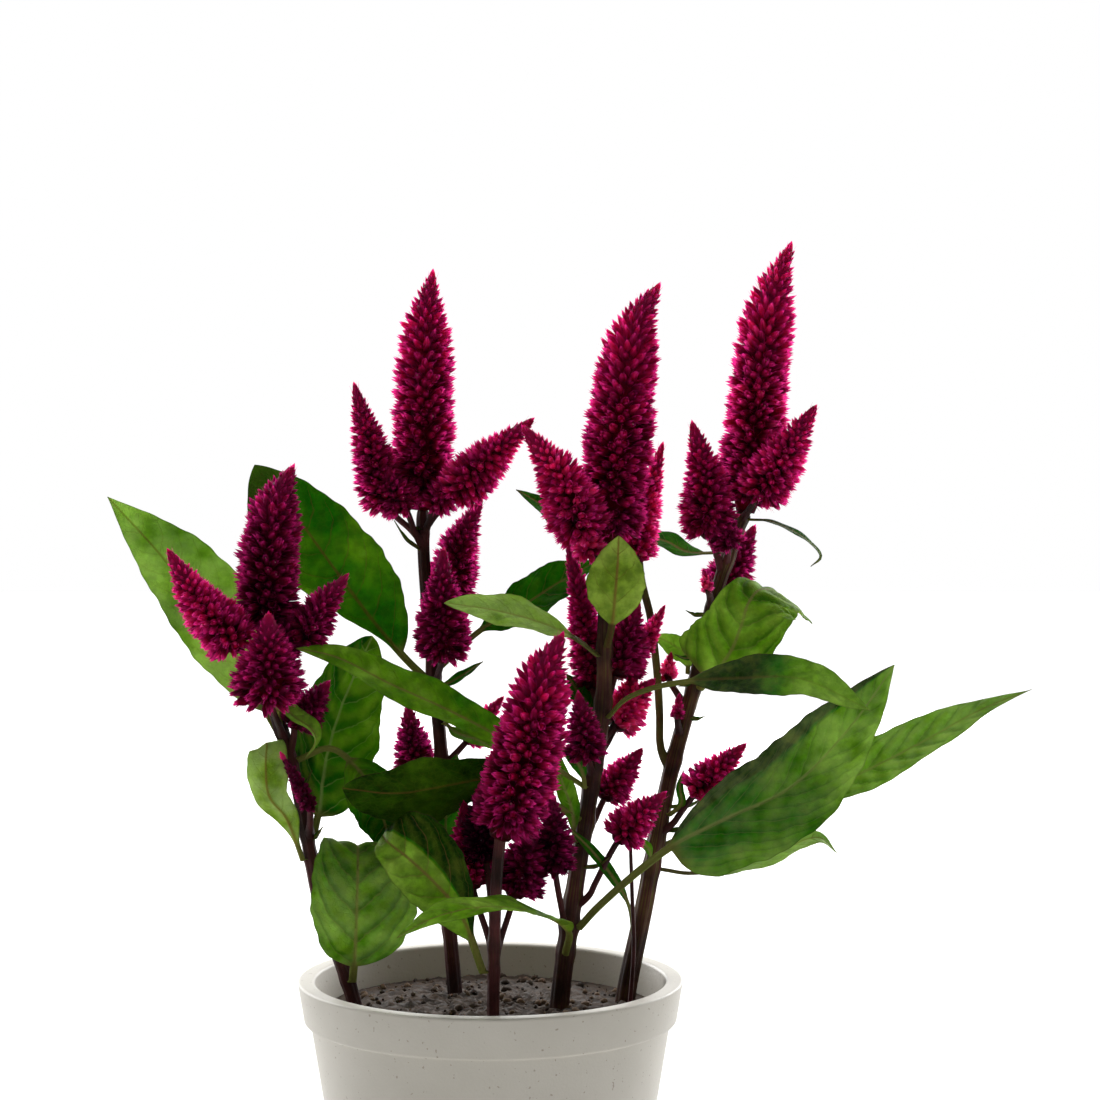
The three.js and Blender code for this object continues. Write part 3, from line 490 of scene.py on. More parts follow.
class Nodes:
    """The nodes of a material or world, made one by one: each call returns the new node's output."""

    def __init__(self, owner):
        owner.use_nodes = True
        self.owner, self.tree = owner, owner.node_tree
        self.tree.nodes.clear()

    def new(self, kind, inputs, out=0, **settings):
        node = self.tree.nodes.new(kind)
        for key, value in settings.items():
            setattr(node, key, value)
        for key, value in inputs.items():
            if isinstance(value, Wire):
                self.tree.links.new(value.socket, node.inputs[key])
            else:
                node.inputs[key].default_value = value
        return Wire(self, node.outputs[out]) if node.outputs else None

    def fit(self, value, low, high, to_low=0.0, to_high=1.0, curve="SMOOTHSTEP"):
        return self.new("ShaderNodeMapRange", {0: value, 1: low, 2: high, 3: to_low, 4: to_high},
                        interpolation_type=curve)

    def mix(self, share, a, b, blend="MIX"):
        a, b = (c if isinstance(c, Wire) else (*c, 1.0) for c in (a, b))
        return self.new("ShaderNodeMix", {0: share, 6: a, 7: b}, out=2, data_type="RGBA", blend_type=blend)

    def shade(self, colour, by):
        return self.mix(1.0, colour, self.vector(by, by, by), "MULTIPLY")

    def split(self, vector):
        return [Wire(self, socket) for socket in
                self.new("ShaderNodeSeparateXYZ", {0: vector}).socket.node.outputs]

    def parts(self, title):
        return self.split(self.new("ShaderNodeAttribute", {}, out=1, attribute_name=title))

    def vector(self, x, y, z):
        return self.new("ShaderNodeCombineXYZ", {0: x, 1: y, 2: z})

    def place(self, out="Object"):
        return self.new("ShaderNodeTexCoord", {}, out=out)

    def noise(self, scale, detail=3.0, rough=0.55, at=None):
        return self.new("ShaderNodeTexNoise", {
            "Vector": at or self.place(), "Scale": scale, "Detail": detail, "Roughness": rough})

    def ramp(self, value, *stops):
        made = self.new("ShaderNodeValToRGB", {0: value})
        elements = made.socket.node.color_ramp.elements
        for i, (at, colour) in enumerate(stops):
            element = elements[i] if i < 2 else elements.new(at)
            element.position = at
            element.color = (*colour, 1.0)
        return made

    def bump(self, height, strength, distance):
        return self.new("ShaderNodeBump", {"Height": height, "Strength": strength, "Distance": distance})

    def solid(self, colour, rough, normal=None, specular=0.5):
        inputs = {"Base Color": colour, "Roughness": rough, "Specular IOR Level": specular}
        return self.new("ShaderNodeBsdfPrincipled", inputs | ({"Normal": normal} if normal else {}))

    def thin(self, colour, through, share, normal, rough, specular):
        """A thin, light-passing surface: a share of what falls on it comes through in the colour `through`."""
        passed = self.new("ShaderNodeBsdfTranslucent", {"Color": through, "Normal": normal})
        return self.new("ShaderNodeMixShader", {0: share, 1: self.solid(colour, rough, normal, specular), 2: passed})

    def finish(self, shader, output="ShaderNodeOutputMaterial"):
        self.new(output, {0: shader})
        return self.owner


def new_material(name):
    return Nodes(bpy.data.materials.new(name))


def floret_material():
    n = new_material("celosia_floret")
    share, tone, height = n.parts("mark")
    margin, anther, _ = n.parts("vein")
    streak = n.noise(1400.0, 2.0)
    along = share + (streak - 0.5) * 0.25
    # Each tepal is darkest at its foot, deep in the spike: partly its own colour, partly painted shade between the
    # florets.
    base = n.ramp(along, (0.0, (0.006, 0.0, 0.0006)), (0.5, (0.022, 0.0, 0.003)), (0.74, (0.050, 0.0, 0.010)),
                  (0.94, (0.095, 0.001, 0.022)), (1.0, (0.16, 0.006, 0.040)))
    fresh = n.fit(height, 0.35, 0.95) * 0.85
    colour = n.mix(fresh, base, (0.44, 0.0065, 0.120))
    # Each spike's tone scales its florets' colour: painted shade for spikes in shadow, painted light for lit ones.
    colour = n.shade(colour, tone * n.fit(margin, 0.3, 1.0, 1.12, 0.68))
    colour = n.mix(n.fit(anther, 0.35, 0.7), colour, (0.85, 0.55, 0.66))
    through = n.mix(n.fit(along, 0.1, 0.9), (0.42, 0.0, 0.08), (0.92, 0.03, 0.30))
    through = n.shade(n.mix(fresh, through, (0.95, 0.032, 0.345)), tone)
    # High tones turn the florets a paler pink: painted light.
    pale = n.fit(tone, 1.0, 1.8, 0.0, 0.5)
    colour = n.mix(pale, colour, (0.70, 0.12, 0.30))
    through = n.mix(pale, through, (0.95, 0.30, 0.58))
    return n.finish(n.thin(colour, through, 0.72, n.bump(streak, 0.35, 0.0003), 0.55, 0.18))


def leaf_material(name, upper):
    n = new_material(name)
    q, tone, rib = n.parts("mark")
    phase, off_rib, off_edge = n.parts("vein")
    dust, patch, quilt = n.parts("tint")
    tip, stem_tone, lines = n.parts("spot")
    cloud = n.noise(110.0)
    fine = n.noise(420.0, 4.0, 0.6)
    depth = tone + (n.noise(55.0, 2.0) - 0.5) * 0.9
    if upper:
        green = n.ramp(depth, (0.0, (0.003, 0.026, 0.0003)), (0.45, (0.012, 0.150, 0.0005)),
                       (0.7, (0.110, 0.250, 0.006)), (1.0, (0.28, 0.43, 0.06)))
        brown, cream, vein_share = (0.15, 0.045, 0.018), (0.36, 0.42, 0.14), 0.5
        pale, dusty = (0.32, 0.38, 0.04), (0.34, 0.42, 0.19)
        # How much each band between veins is darkened and lightened: painted shade and painted light of its swell.
        low, high = -0.50, 0.33
        gloss, specular = n.fit(fine, 0.2, 0.8, 0.42, 0.55), 0.035
    else:
        green = n.ramp(depth, (0.0, (0.006, 0.032, 0.0005)), (0.35, (0.060, 0.130, 0.004)),
                       (0.7, (0.190, 0.290, 0.026)), (1.0, (0.35, 0.44, 0.08)))
        brown, cream, vein_share = (0.20, 0.080, 0.028), (0.38, 0.42, 0.18), 0.3
        pale, dusty = (0.34, 0.38, 0.06), (0.40, 0.46, 0.22)
        # How much each band between veins is darkened and lightened: painted shade and painted light of its swell.
        low, high = -0.32, 0.20
        gloss, specular = n.fit(fine, 0.2, 0.8, 0.6, 0.75), 0.02

    # Where the veins, the grooves and crests beside them and the midrib run.
    between = phase + (n.noise(160.0, 2.0) - 0.5) * 0.45
    off_vein = (between.math("FRACT") - 0.5).math("ABSOLUTE")
    in_blade = n.fit(off_edge, 0.2, 3.0) * lines
    vein = n.fit(off_vein, 0.046, 0.008) * in_blade
    groove = n.fit(off_vein, quilt * 0.13, 0.0) * in_blade
    painted_crest_light = n.fit(off_vein, 0.18, 0.42) * in_blade
    cells = n.new("ShaderNodeTexVoronoi", {"Vector": n.place(), "Scale": 480.0}, feature="DISTANCE_TO_EDGE")
    net = n.fit(cells, 0.12, 0.02)
    midrib = n.fit(off_rib, q * -0.75 + 1.2, 0.2) * n.fit(lines, 0.0, 0.6, 0.2, 0.85)

    # The green, darkened and lightened in bands from one vein to the next as painted shade and painted light of the
    # swell, with patches, a grey bloom that is partly painted sheen, painted shade in the grooves, painted light on the
    # crests, veins, margin, tip and stalk.
    colour = n.mix(n.fit(fine, 0.35, 0.7) * 0.12, green, (0.06, 0.21, 0.001))
    painted_quilt_shading = n.fit((between + 0.5).math("FRACT"), 0.0, 1.0, low, high) * (in_blade * n.fit(quilt, 0.2, 2.4))
    colour = n.shade(colour, n.fit(n.noise(230.0, 5.0, 0.65), 0.34, 0.66, 0.62, 1.32) * (painted_quilt_shading + 1.0))
    colour = n.mix(n.fit(cloud, 0.52, 0.66) * (patch * 0.75), colour, pale)
    # A grey coat: partly a real bloom on the leaf, partly painted sheen.
    colour = n.mix(n.fit(cloud, 0.30, 0.60) * (dust * 0.5), colour, dusty)
    # Painted light on the crests between the veins.
    colour = n.mix(painted_crest_light * (quilt.math("POWER", 2.0) * 0.05), colour, pale)
    colour = n.mix(net * 0.08, colour, (0.16, 0.24, 0.02))
    # Painted shade in the grooves by the veins.
    colour = n.mix(groove * (quilt * 0.13), colour, (0.006, 0.045, 0.001))
    rib_colour = n.mix(rib, brown, cream)
    colour = n.mix(vein * vein_share, colour, rib_colour)
    colour = n.mix(midrib, colour, rib_colour)
    colour = n.mix(n.fit(off_edge, 0.55, 0.1) * 0.6, colour, (0.05, 0.028, 0.016))
    colour = n.mix(n.fit(q, 0.80, 0.90) * tip, colour, (0.050, 0.052, 0.008))
    stalk = n.fit(q, 0.05, 0.0) * 0.85
    colour = n.mix(stalk, colour, n.mix(stem_tone, (0.17, 0.18, 0.040), (0.050, 0.022, 0.014)))
    through = n.ramp(depth, (0.0, (0.004, 0.045, 0.0003)), (0.45, (0.020, 0.26, 0.001)),
                     (0.7, (0.20, 0.45, 0.012)), (1.0, (0.52, 0.82, 0.18)))
    through = n.mix(stalk, through, (0.02, 0.02, 0.004))
    relief = n.bump(groove * -0.9 + net * -0.25 + fine * 0.35, 0.5, 0.0006)
    return n.finish(n.thin(colour, through, 0.32, relief, gloss, specular))


def stem_material():
    n = new_material("celosia_stem")
    along, around, tone = n.parts("mark")
    lines = n.noise(1.0, 4.0, 0.6, n.vector(around * 22.0, along * 0.035, tone))
    patch = n.noise(70.0)
    olive = n.mix(n.fit(patch, 0.35, 0.7), (0.050, 0.040, 0.008), (0.11, 0.10, 0.018))
    maroon = n.mix(n.fit(patch, 0.3, 0.7), (0.016, 0.005, 0.004), (0.070, 0.014, 0.016))
    share = (lines - 0.5) * 1.3 + (patch * 0.3 + tone)
    colour = n.mix(n.fit(share, 0.1, 0.6), maroon, olive)
    return n.finish(n.solid(colour, n.fit(lines, 0.2, 0.8, 0.45, 0.65), n.bump(lines, 0.7, 0.0007), 0.12))


def pot_material():
    n = new_material("pot_ceramic")
    cloud = n.noise(14.0, 4.0)
    specks = n.fit(n.noise(650.0, 1.0), 0.70, 0.76)
    colour = n.mix(n.fit(cloud, 0.3, 0.7), (0.40, 0.375, 0.32), (0.47, 0.445, 0.39))
    colour = n.mix(specks * 0.6, colour, (0.16, 0.12, 0.08))
    bump = n.bump(n.noise(900.0) + cloud * 2.0, 0.18, 0.0005)
    return n.finish(n.solid(colour, n.fit(cloud, 0.3, 0.7, 0.38, 0.52), bump))


def soil_material():
    n = new_material("potting_mix")
    lumps = n.noise(260.0, 5.0, 0.65)
    dark = n.mix(n.fit(lumps, 0.3, 0.7), (0.010, 0.006, 0.004), (0.050, 0.030, 0.018))
    colour = n.mix(n.parts("mark")[1], dark, (0.13, 0.08, 0.045))
    return n.finish(n.solid(colour, n.fit(lumps, 0.3, 0.7, 0.8, 0.97), n.bump(lumps, 0.8, 0.001)))


def floor_material():
    n = new_material("pale_floor")
    return n.finish(n.solid(n.mix(n.noise(1.5, 2.0), (0.94, 0.94, 0.94), (0.96, 0.96, 0.96)), 0.9))


FLORET = floret_material()
LEAF_SKINS = [leaf_material("leaf_upper", True), leaf_material("leaf_underside", False)]
STEM = stem_material()


# ---- Stems and stalks ----
STEM_RIBS, STEM_SIDES, RIB_DEPTH, STEM_TWIST = 7, 36, 0.06, 0.8
STEM_ROW = 1.3  # between its rows of points
BARK_SHARE = 0.97  # of the layout's radius, so that the ribs don't stand proud of it
NODE_SWELL, NODE_REACH = 0.13, 2.6  # how much a stem swells where a stalk leaves it, and how far along
STALK_SIDES, STALK_RIBS, STALK_RIB_DEPTH = 18, 6, 0.07
STALK_FLARE, FLARE_REACH = 0.45, 6.0  # how much it widens at its foot, and how far along
STALK_DROP = 3.5  # how far below its seat a stalk leaves the stem's axis
STALK_BEND = 3  # from the seat it takes this way to join its own curve
INTO_FLORETS = 0.12  # it ends at this share of the florets' stretch
USUAL_STALK = (-0.12, 0.9)  # a side stalk's tone and thickness, and those that differ by stem and height
STOUT_STALKS = {("right", 187): (0.45, 1.15)}


def tube(shape, curve, shares, radii, sides, tone, ribs=0, rib_depth=0.0, turn=0.0, marks=None):
    """A round, closed tube along a curve, with lengthwise ribs."""
    origin, side, normal = frames_at(curve, shares)
    angle = turns(sides)[None, :]
    twist = angle + turn * shares[:, None]
    r = radii[:, None] * (1 + rib_depth * np.cos(ribs * angle))
    points = (origin[:, None] + normal[:, None] * (r * np.cos(twist))[..., None]
              + side[:, None] * (r * np.sin(twist))[..., None])
    if marks is None:
        marks = triple(shares[:, None] * curve.length, np.abs(np.linspace(-1, 1, sides, endpoint=False)), tone)
    shape.add(points, tube_faces(len(shares), sides), marks)


def make_stem(name):
    curve = STEM_CURVES[name]
    shares = np.linspace(0.001, 1, int(curve.length / STEM_ROW))
    radii = stem_radius(name, shares)
    heights = curve.at(shares)[:, 2]
    for grown in (*SPIKES.values(), *LEAVES.values()):
        if grown["stem"] == name and grown["start"]:
            radii = radii * (1 + NODE_SWELL * np.exp(-((heights - grown["start"]) / NODE_REACH) ** 2))
    radii = radii * (1 - 0.5 * smooth(0.985, 1, shares))
    shape = Shape()
    tube(shape, curve, shares, radii * BARK_SHARE, STEM_SIDES, STEMS[name]["tone"], STEM_RIBS, RIB_DEPTH, STEM_TWIST)
    shape.piece(f"bark_{name}", [STEM], "stem", f"stem_{name}")


def make_side_stalks(stem, curves):
    """The stalks of a stem's side spikes, from inside it into the florets."""
    shape = Shape()
    for curve, begin, start in curves:
        first, last = min(0.25, STALK_BEND / curve.length), begin + INTO_FLORETS * (1 - begin)
        way = Curve([stem_place(stem, start - STALK_DROP), *curve.at(np.linspace(first, last, 7))])
        shares = np.linspace(0.0, 1.0, 30)
        flare = 1 + STALK_FLARE * np.exp(-((shares * way.length / FLARE_REACH) ** 2))
        tone, thick = STOUT_STALKS.get((stem, start), USUAL_STALK)
        tube(shape, way, shares, STALK_RADIUS * thick * flare, STALK_SIDES, tone, STALK_RIBS, STALK_RIB_DEPTH)
    shape.piece(f"side_stalks_{stem}", [STEM], "stem")


def make_twig(name, radius, path):
    shape = Shape()
    shares = np.linspace(0, 1, 40)
    tube(shape, Curve([place(p) for p in path]), shares, radius * (1 - 0.25 * shares), sides=14, tone=-0.1, ribs=5,
         rib_depth=0.06)
    shape.piece(name, [STEM], "stem")


# ---- Flower spikes ----
FULLER_USUAL = 1.08
FULLER_TIP = 0.2  # how much further the florets of a main spike's tip reach
# Florets at a main spike's base are darker: partly older florets, partly painted shade low in the plant.
OLD_AND_SHADED_BASE = 0.25  # how much darker the florets at a main spike's base are
SIDE_SIZE = 0.88  # the florets of side spikes by those of main ones
SIDE_FRESH = 0.35  # how fresh they are at the base; at the tip all are 1
SPIKE_DROP = 1.8  # how far a main spike's florets reach down over its stem's top
BARE_STALK = 0.6  # the share of a side spike's stalk without florets, at least
EARLY_FLORETS = 1.5
GOLDEN_ANGLE = math.radians(137.508)
FLORET_LENGTH, FLORET_GIRTH = 8.0, 1.75
FLORET_SPACING, TIP_SPACING = 3.6, 0.5  # on a spike's fat part, and the share of that at its tip
FOOT_CIRCLE = 0.78  # where the spacing is measured, as a share of the radius
HEART_SIDES, HEART_LEAST = 14, 0.35
# The heart's dark colour is painted shade between the florets.
HEART_MARK = (0.15, 0.8)  # it's as dark as this share of a floret, in this tone
ANTHER_SHARE, ANTHERS_UP_TO = 0.16, 0.6  # of a spike's florets, up to this share of its length
TOP_BUD, TOP_GIRTH = 5.0, 1.5
TEPALS = 5
TEPAL_ROWS = np.array([0.0, 0.36, 0.73])
TEPAL_OUT = (0.50, 0.98, 0.60, 0.04)  # how far its middle stands from the floret's axis, tip last
TEPAL_OPEN = (0.0, 0.05, 0.32, 0.90)  # the same, added as the floret opens
TEPAL_HALF = (0.40, 0.66, 0.40)
TEPAL_CUP = (0.08, 0.26, 0.17)  # how far its edges curl in
TEPAL_LAYER = (1.0, 0.90, 1.0, 0.90, 0.95)
TEPAL_FACES = [grid_faces(3, 3), np.array([[6, 7, 9], [7, 8, 9]])]
TEPAL_MARGINS = np.array([[1, 0, 0], [0, 0, 0], [1, 0, 0]] * 3 + [[0, 0, 0]])
BUD_ROWS, BUD_RADIUS, BUD_TIP, BUD_SIDES = np.array([0.45, 0.66]), (0.58, 0.42), 0.8, 5
BUD_FACES = [grid_faces(2, BUD_SIDES, closed=True), np.array([[5 + j, 5 + (j + 1) % 5, 10] for j in range(BUD_SIDES)])]
BRISTLES = 3  # narrow bracts round each floret
BRISTLE_FOOT, BRISTLE_OUT = 0.15, (0.9, 1.55)  # where they begin along it, and how far out they begin and end
BRISTLE_HALF, BRISTLE_KEEL = 0.17, 0.12  # half their width, and how far their middle stands out
BRISTLE_FACES = [np.array([[0, 1, 3], [1, 2, 3]])]


def add_copies(shape, points, faces, shares, tone, height, veins=0.0):
    """A small form for each floret. Its marks are each point's share of the floret, its tone and how high it is."""
    start = np.arange(len(points))[:, None, None] * points.shape[1]
    shape.add(points, [(group + start).reshape(-1, group.shape[1]) for group in faces],
              triple(shares, tone[:, None], height[:, None]), np.broadcast_to(veins, points.shape))


def add_florets(shape, foot, tip, up, girth, opened, tone, height, anthers, rng):
    """Pointed florets of five tepals round a closed bud, from foot to tip each. Some show pale anthers at the bud."""
    count = len(foot)
    axis = tip - foot
    length = np.linalg.norm(axis, axis=1, keepdims=True)
    axis = axis / length
    u = unit(up - axis * (up * axis).sum(axis=1, keepdims=True))
    v = np.cross(axis, u)
    begin = rng.uniform(0, 2 * math.pi, count)
    girth = girth[:, None]

    def outward(number, of, spread):
        angle = begin + 2 * math.pi * number / of + spread
        return u * np.cos(angle)[:, None] + v * np.sin(angle)[:, None]

    for k, layer in enumerate(TEPAL_LAYER):
        out = outward(k, TEPALS, rng.normal(0, 0.12, count))
        across = np.cross(axis, out)
        reach = length * rng.uniform(0.86, 1.0, count)[:, None]
        spread = (opened * rng.uniform(0.6, 1.3, count))[:, None]
        stand = [girth * (near + more * spread) for near, more in zip(TEPAL_OUT, TEPAL_OPEN)]
        points = []
        for i, s in enumerate(TEPAL_ROWS):
            middle = foot + axis * (reach * s) + out * (layer * stand[i])
            half, curl = across * (girth * TEPAL_HALF[i]), out * (girth * TEPAL_CUP[i])
            points += [middle - half - curl, middle, middle + half - curl]
        points.append(foot + axis * reach + out * stand[-1])
        add_copies(shape, np.stack(points, axis=1), TEPAL_FACES, [*np.repeat(TEPAL_ROWS, 3), 1.0],
                   tone * rng.uniform(0.85, 1.15, count), height, TEPAL_MARGINS)
    for k in range(BRISTLES):
        out = outward(k + 0.5, BRISTLES, rng.normal(0, 0.25, count))
        across = np.cross(axis, out) * (girth * BRISTLE_HALF)
        near, far = (out * (girth * stand) for stand in BRISTLE_OUT)
        reach = length * rng.uniform(0.72, 0.98, count)[:, None]
        middle = foot + axis * reach * BRISTLE_FOOT + near
        points = [middle - across, middle + out * BRISTLE_KEEL, middle + across, foot + axis * reach + far]
        add_copies(shape, np.stack(points, axis=1), BRISTLE_FACES, [0.5, 0.5, 0.5, 1.0], tone, height)
    points = [foot + axis * length * s + outward(j + 0.5, BUD_SIDES, 0) * (girth * r)
              for s, r in zip(BUD_ROWS, BUD_RADIUS) for j in range(BUD_SIDES)]
    points = np.stack([*points, foot + axis * length * BUD_TIP], axis=1)
    veins = np.zeros(points.shape)
    veins[:, -1, 1] = anthers
    add_copies(shape, points, BUD_FACES, [*np.repeat(BUD_ROWS, BUD_SIDES), 0.97], tone, height, veins)


def make_spike(name, stem, start, radius, path, via=(), full=FULLER_USUAL, tone=1.0, nudge=(0, 0)):
    rng = random_for(name)
    shape = Shape()
    radius = radius * full
    main = start is None
    outline, usual_size, fresh = (MAIN_OUTLINE, 1, 0) if main else (SIDE_OUTLINE, SIDE_SIZE, SIDE_FRESH)
    way = [place(p) for p in via] + [place(p, *nudge) for p in path]
    if main:
        way[0] = STEM_CURVES[stem].at(1.0) - unit(way[1] - way[0]) * SPIKE_DROP
        curve, begin = Curve(way), 0.0
    else:
        curve = Curve([seat_on_stem(stem, start, way[0], STALK_RADIUS), *way])
        begin = float(curve.knots[len(via) + 1])
        if name in SPIKES:
            begin = max(begin * BARE_STALK, begin - EARLY_FLORETS / curve.length)
    span = (1 - begin) * curve.length

    def reach(share):
        return read(outline, share) * radius

    # The rachis and the heart that the florets stand on, coloured dark as painted shade between the florets.
    q = np.linspace(0, 0.97, 40)
    tube(shape, curve, begin + q * (1 - begin), np.maximum(read(HEART, q) * reach(q), HEART_LEAST), HEART_SIDES, 0.0,
         marks=triple(*HEART_MARK, np.repeat(q, HEART_SIDES)))

    # How many florets there are up to each share of the spike's length.
    q = np.linspace(0.02, 0.985, 400)
    size = min(1.0, 0.72 + 0.028 * radius) * usual_size  # small spikes have small florets
    spacing = FLORET_SPACING * size * (TIP_SPACING + (1 - TIP_SPACING) * np.clip(reach(q) / radius, 0, 1) ** 0.8)
    dense = 2 * math.pi * (FOOT_CIRCLE * reach(q)) / spacing**2
    total = np.concatenate([[0], np.cumsum((dense[1:] + dense[:-1]) / 2 * np.diff(q) * span)])
    count = int(total[-1])
    at = np.interp(np.arange(count) + 0.5, total, q)
    turn = np.arange(count) * GOLDEN_ANGLE + rng.normal(0, 0.06, count)

    fat = np.clip(reach(at) / radius, 0, 1)
    tilt = np.radians(read(TILT, at) + rng.normal(0, 7, count) * fat)
    length = FLORET_LENGTH * size * (0.62 + 0.38 * fat) * rng.uniform(0.9, 1.12, count)
    tip_r = reach(at) * rng.uniform(0.97, 1.15, count)
    if main:
        tip_r = tip_r * (1 + FULLER_TIP * smooth(0.6, 0.9, at))
    foot_r = np.maximum(tip_r - length * np.sin(tilt), 0.16 * tip_r)
    foot_at = np.clip(at - length * np.cos(tilt) / span, 0, 1)

    def on_spike(share, r):
        origin, side, normal = frames_at(curve, begin + share * (1 - begin))
        return origin + (normal * np.cos(turn)[:, None] + side * np.sin(turn)[:, None]) * r[:, None]

    girth = FLORET_GIRTH * size * (0.42 + 0.58 * fat) * rng.uniform(0.88, 1.12, count)
    opened = (1 - 0.75 * smooth(0.45, 0.85, at)) * rng.uniform(0.15, 0.75, count)
    # Random tones, scaled by the spike's tone, which holds its painted shade and painted light.
    tones = rng.uniform(0.75, 1.25, count) * tone
    if main:
        tones = tones * (1 - OLD_AND_SHADED_BASE * (1 - smooth(0.0, 0.4, at)))
    anthers = (rng.random(count) < ANTHER_SHARE) * (at < ANTHERS_UP_TO)
    add_florets(shape, on_spike(foot_at, foot_r), on_spike(at, tip_r), curve.along(begin + at * (1 - begin)), girth,
                opened, tones, fresh + (1 - fresh) * at, anthers, rng)

    # The closed bud at the very tip.
    top, along = curve.at(1.0), curve.along(1.0)
    add_florets(shape, (top - along * (TOP_BUD * size) * 1.05)[None], (top + along * 0.3)[None], BACKWARDS[None],
                np.array([TOP_GIRTH * size]), np.zeros(1), np.ones(1), np.ones(1), np.zeros(1), rng)
    shape.piece(f"florets_{name}", [FLORET], "flower_spike", *([name] if name in SPIKES else []))
    return curve, begin


# ---- Leaves ----
ROWS_PER_MM, FEWEST_ROWS, MOST_ROWS, STALK_ROWS = 0.85, 26, 96, 14
HALF_COLUMNS, SMALL_HALF_COLUMNS, SMALL_WIDTH = 9, 5, 10
FULL_WIDTH = 24  # a leaf as wide as this or wider has relief of full size
LEAF_STALK_REACH = math.hypot(LEAF_STALK_WIDTH, LEAF_STALK_THICKNESS) / 2
BLADE_HALF_THICK = 0.16
VEIN_SPACING, VEIN_BEND = 10.5, 0.85
QUILT_HEIGHT = 0.85
WAVE_HEIGHT = 0.045  # of its margin, as a share of its width
RIB_SHARE, RIB_WIDTH, RIB_GROOVE = 0.42, 0.9, 0.22
RAGGED = (0.02, 33), (0.012, 82)  # how far its margin wavers, and how often
OFF_STALK = 5.0  # a stalk's points count as this far from the margin


def blade_share(q, peak, full):
    q = np.clip(q, 1e-6, 1 - 1e-6)
    return (q / peak) ** (full * peak) * ((1 - q) / (1 - peak)) ** (full * (1 - peak))


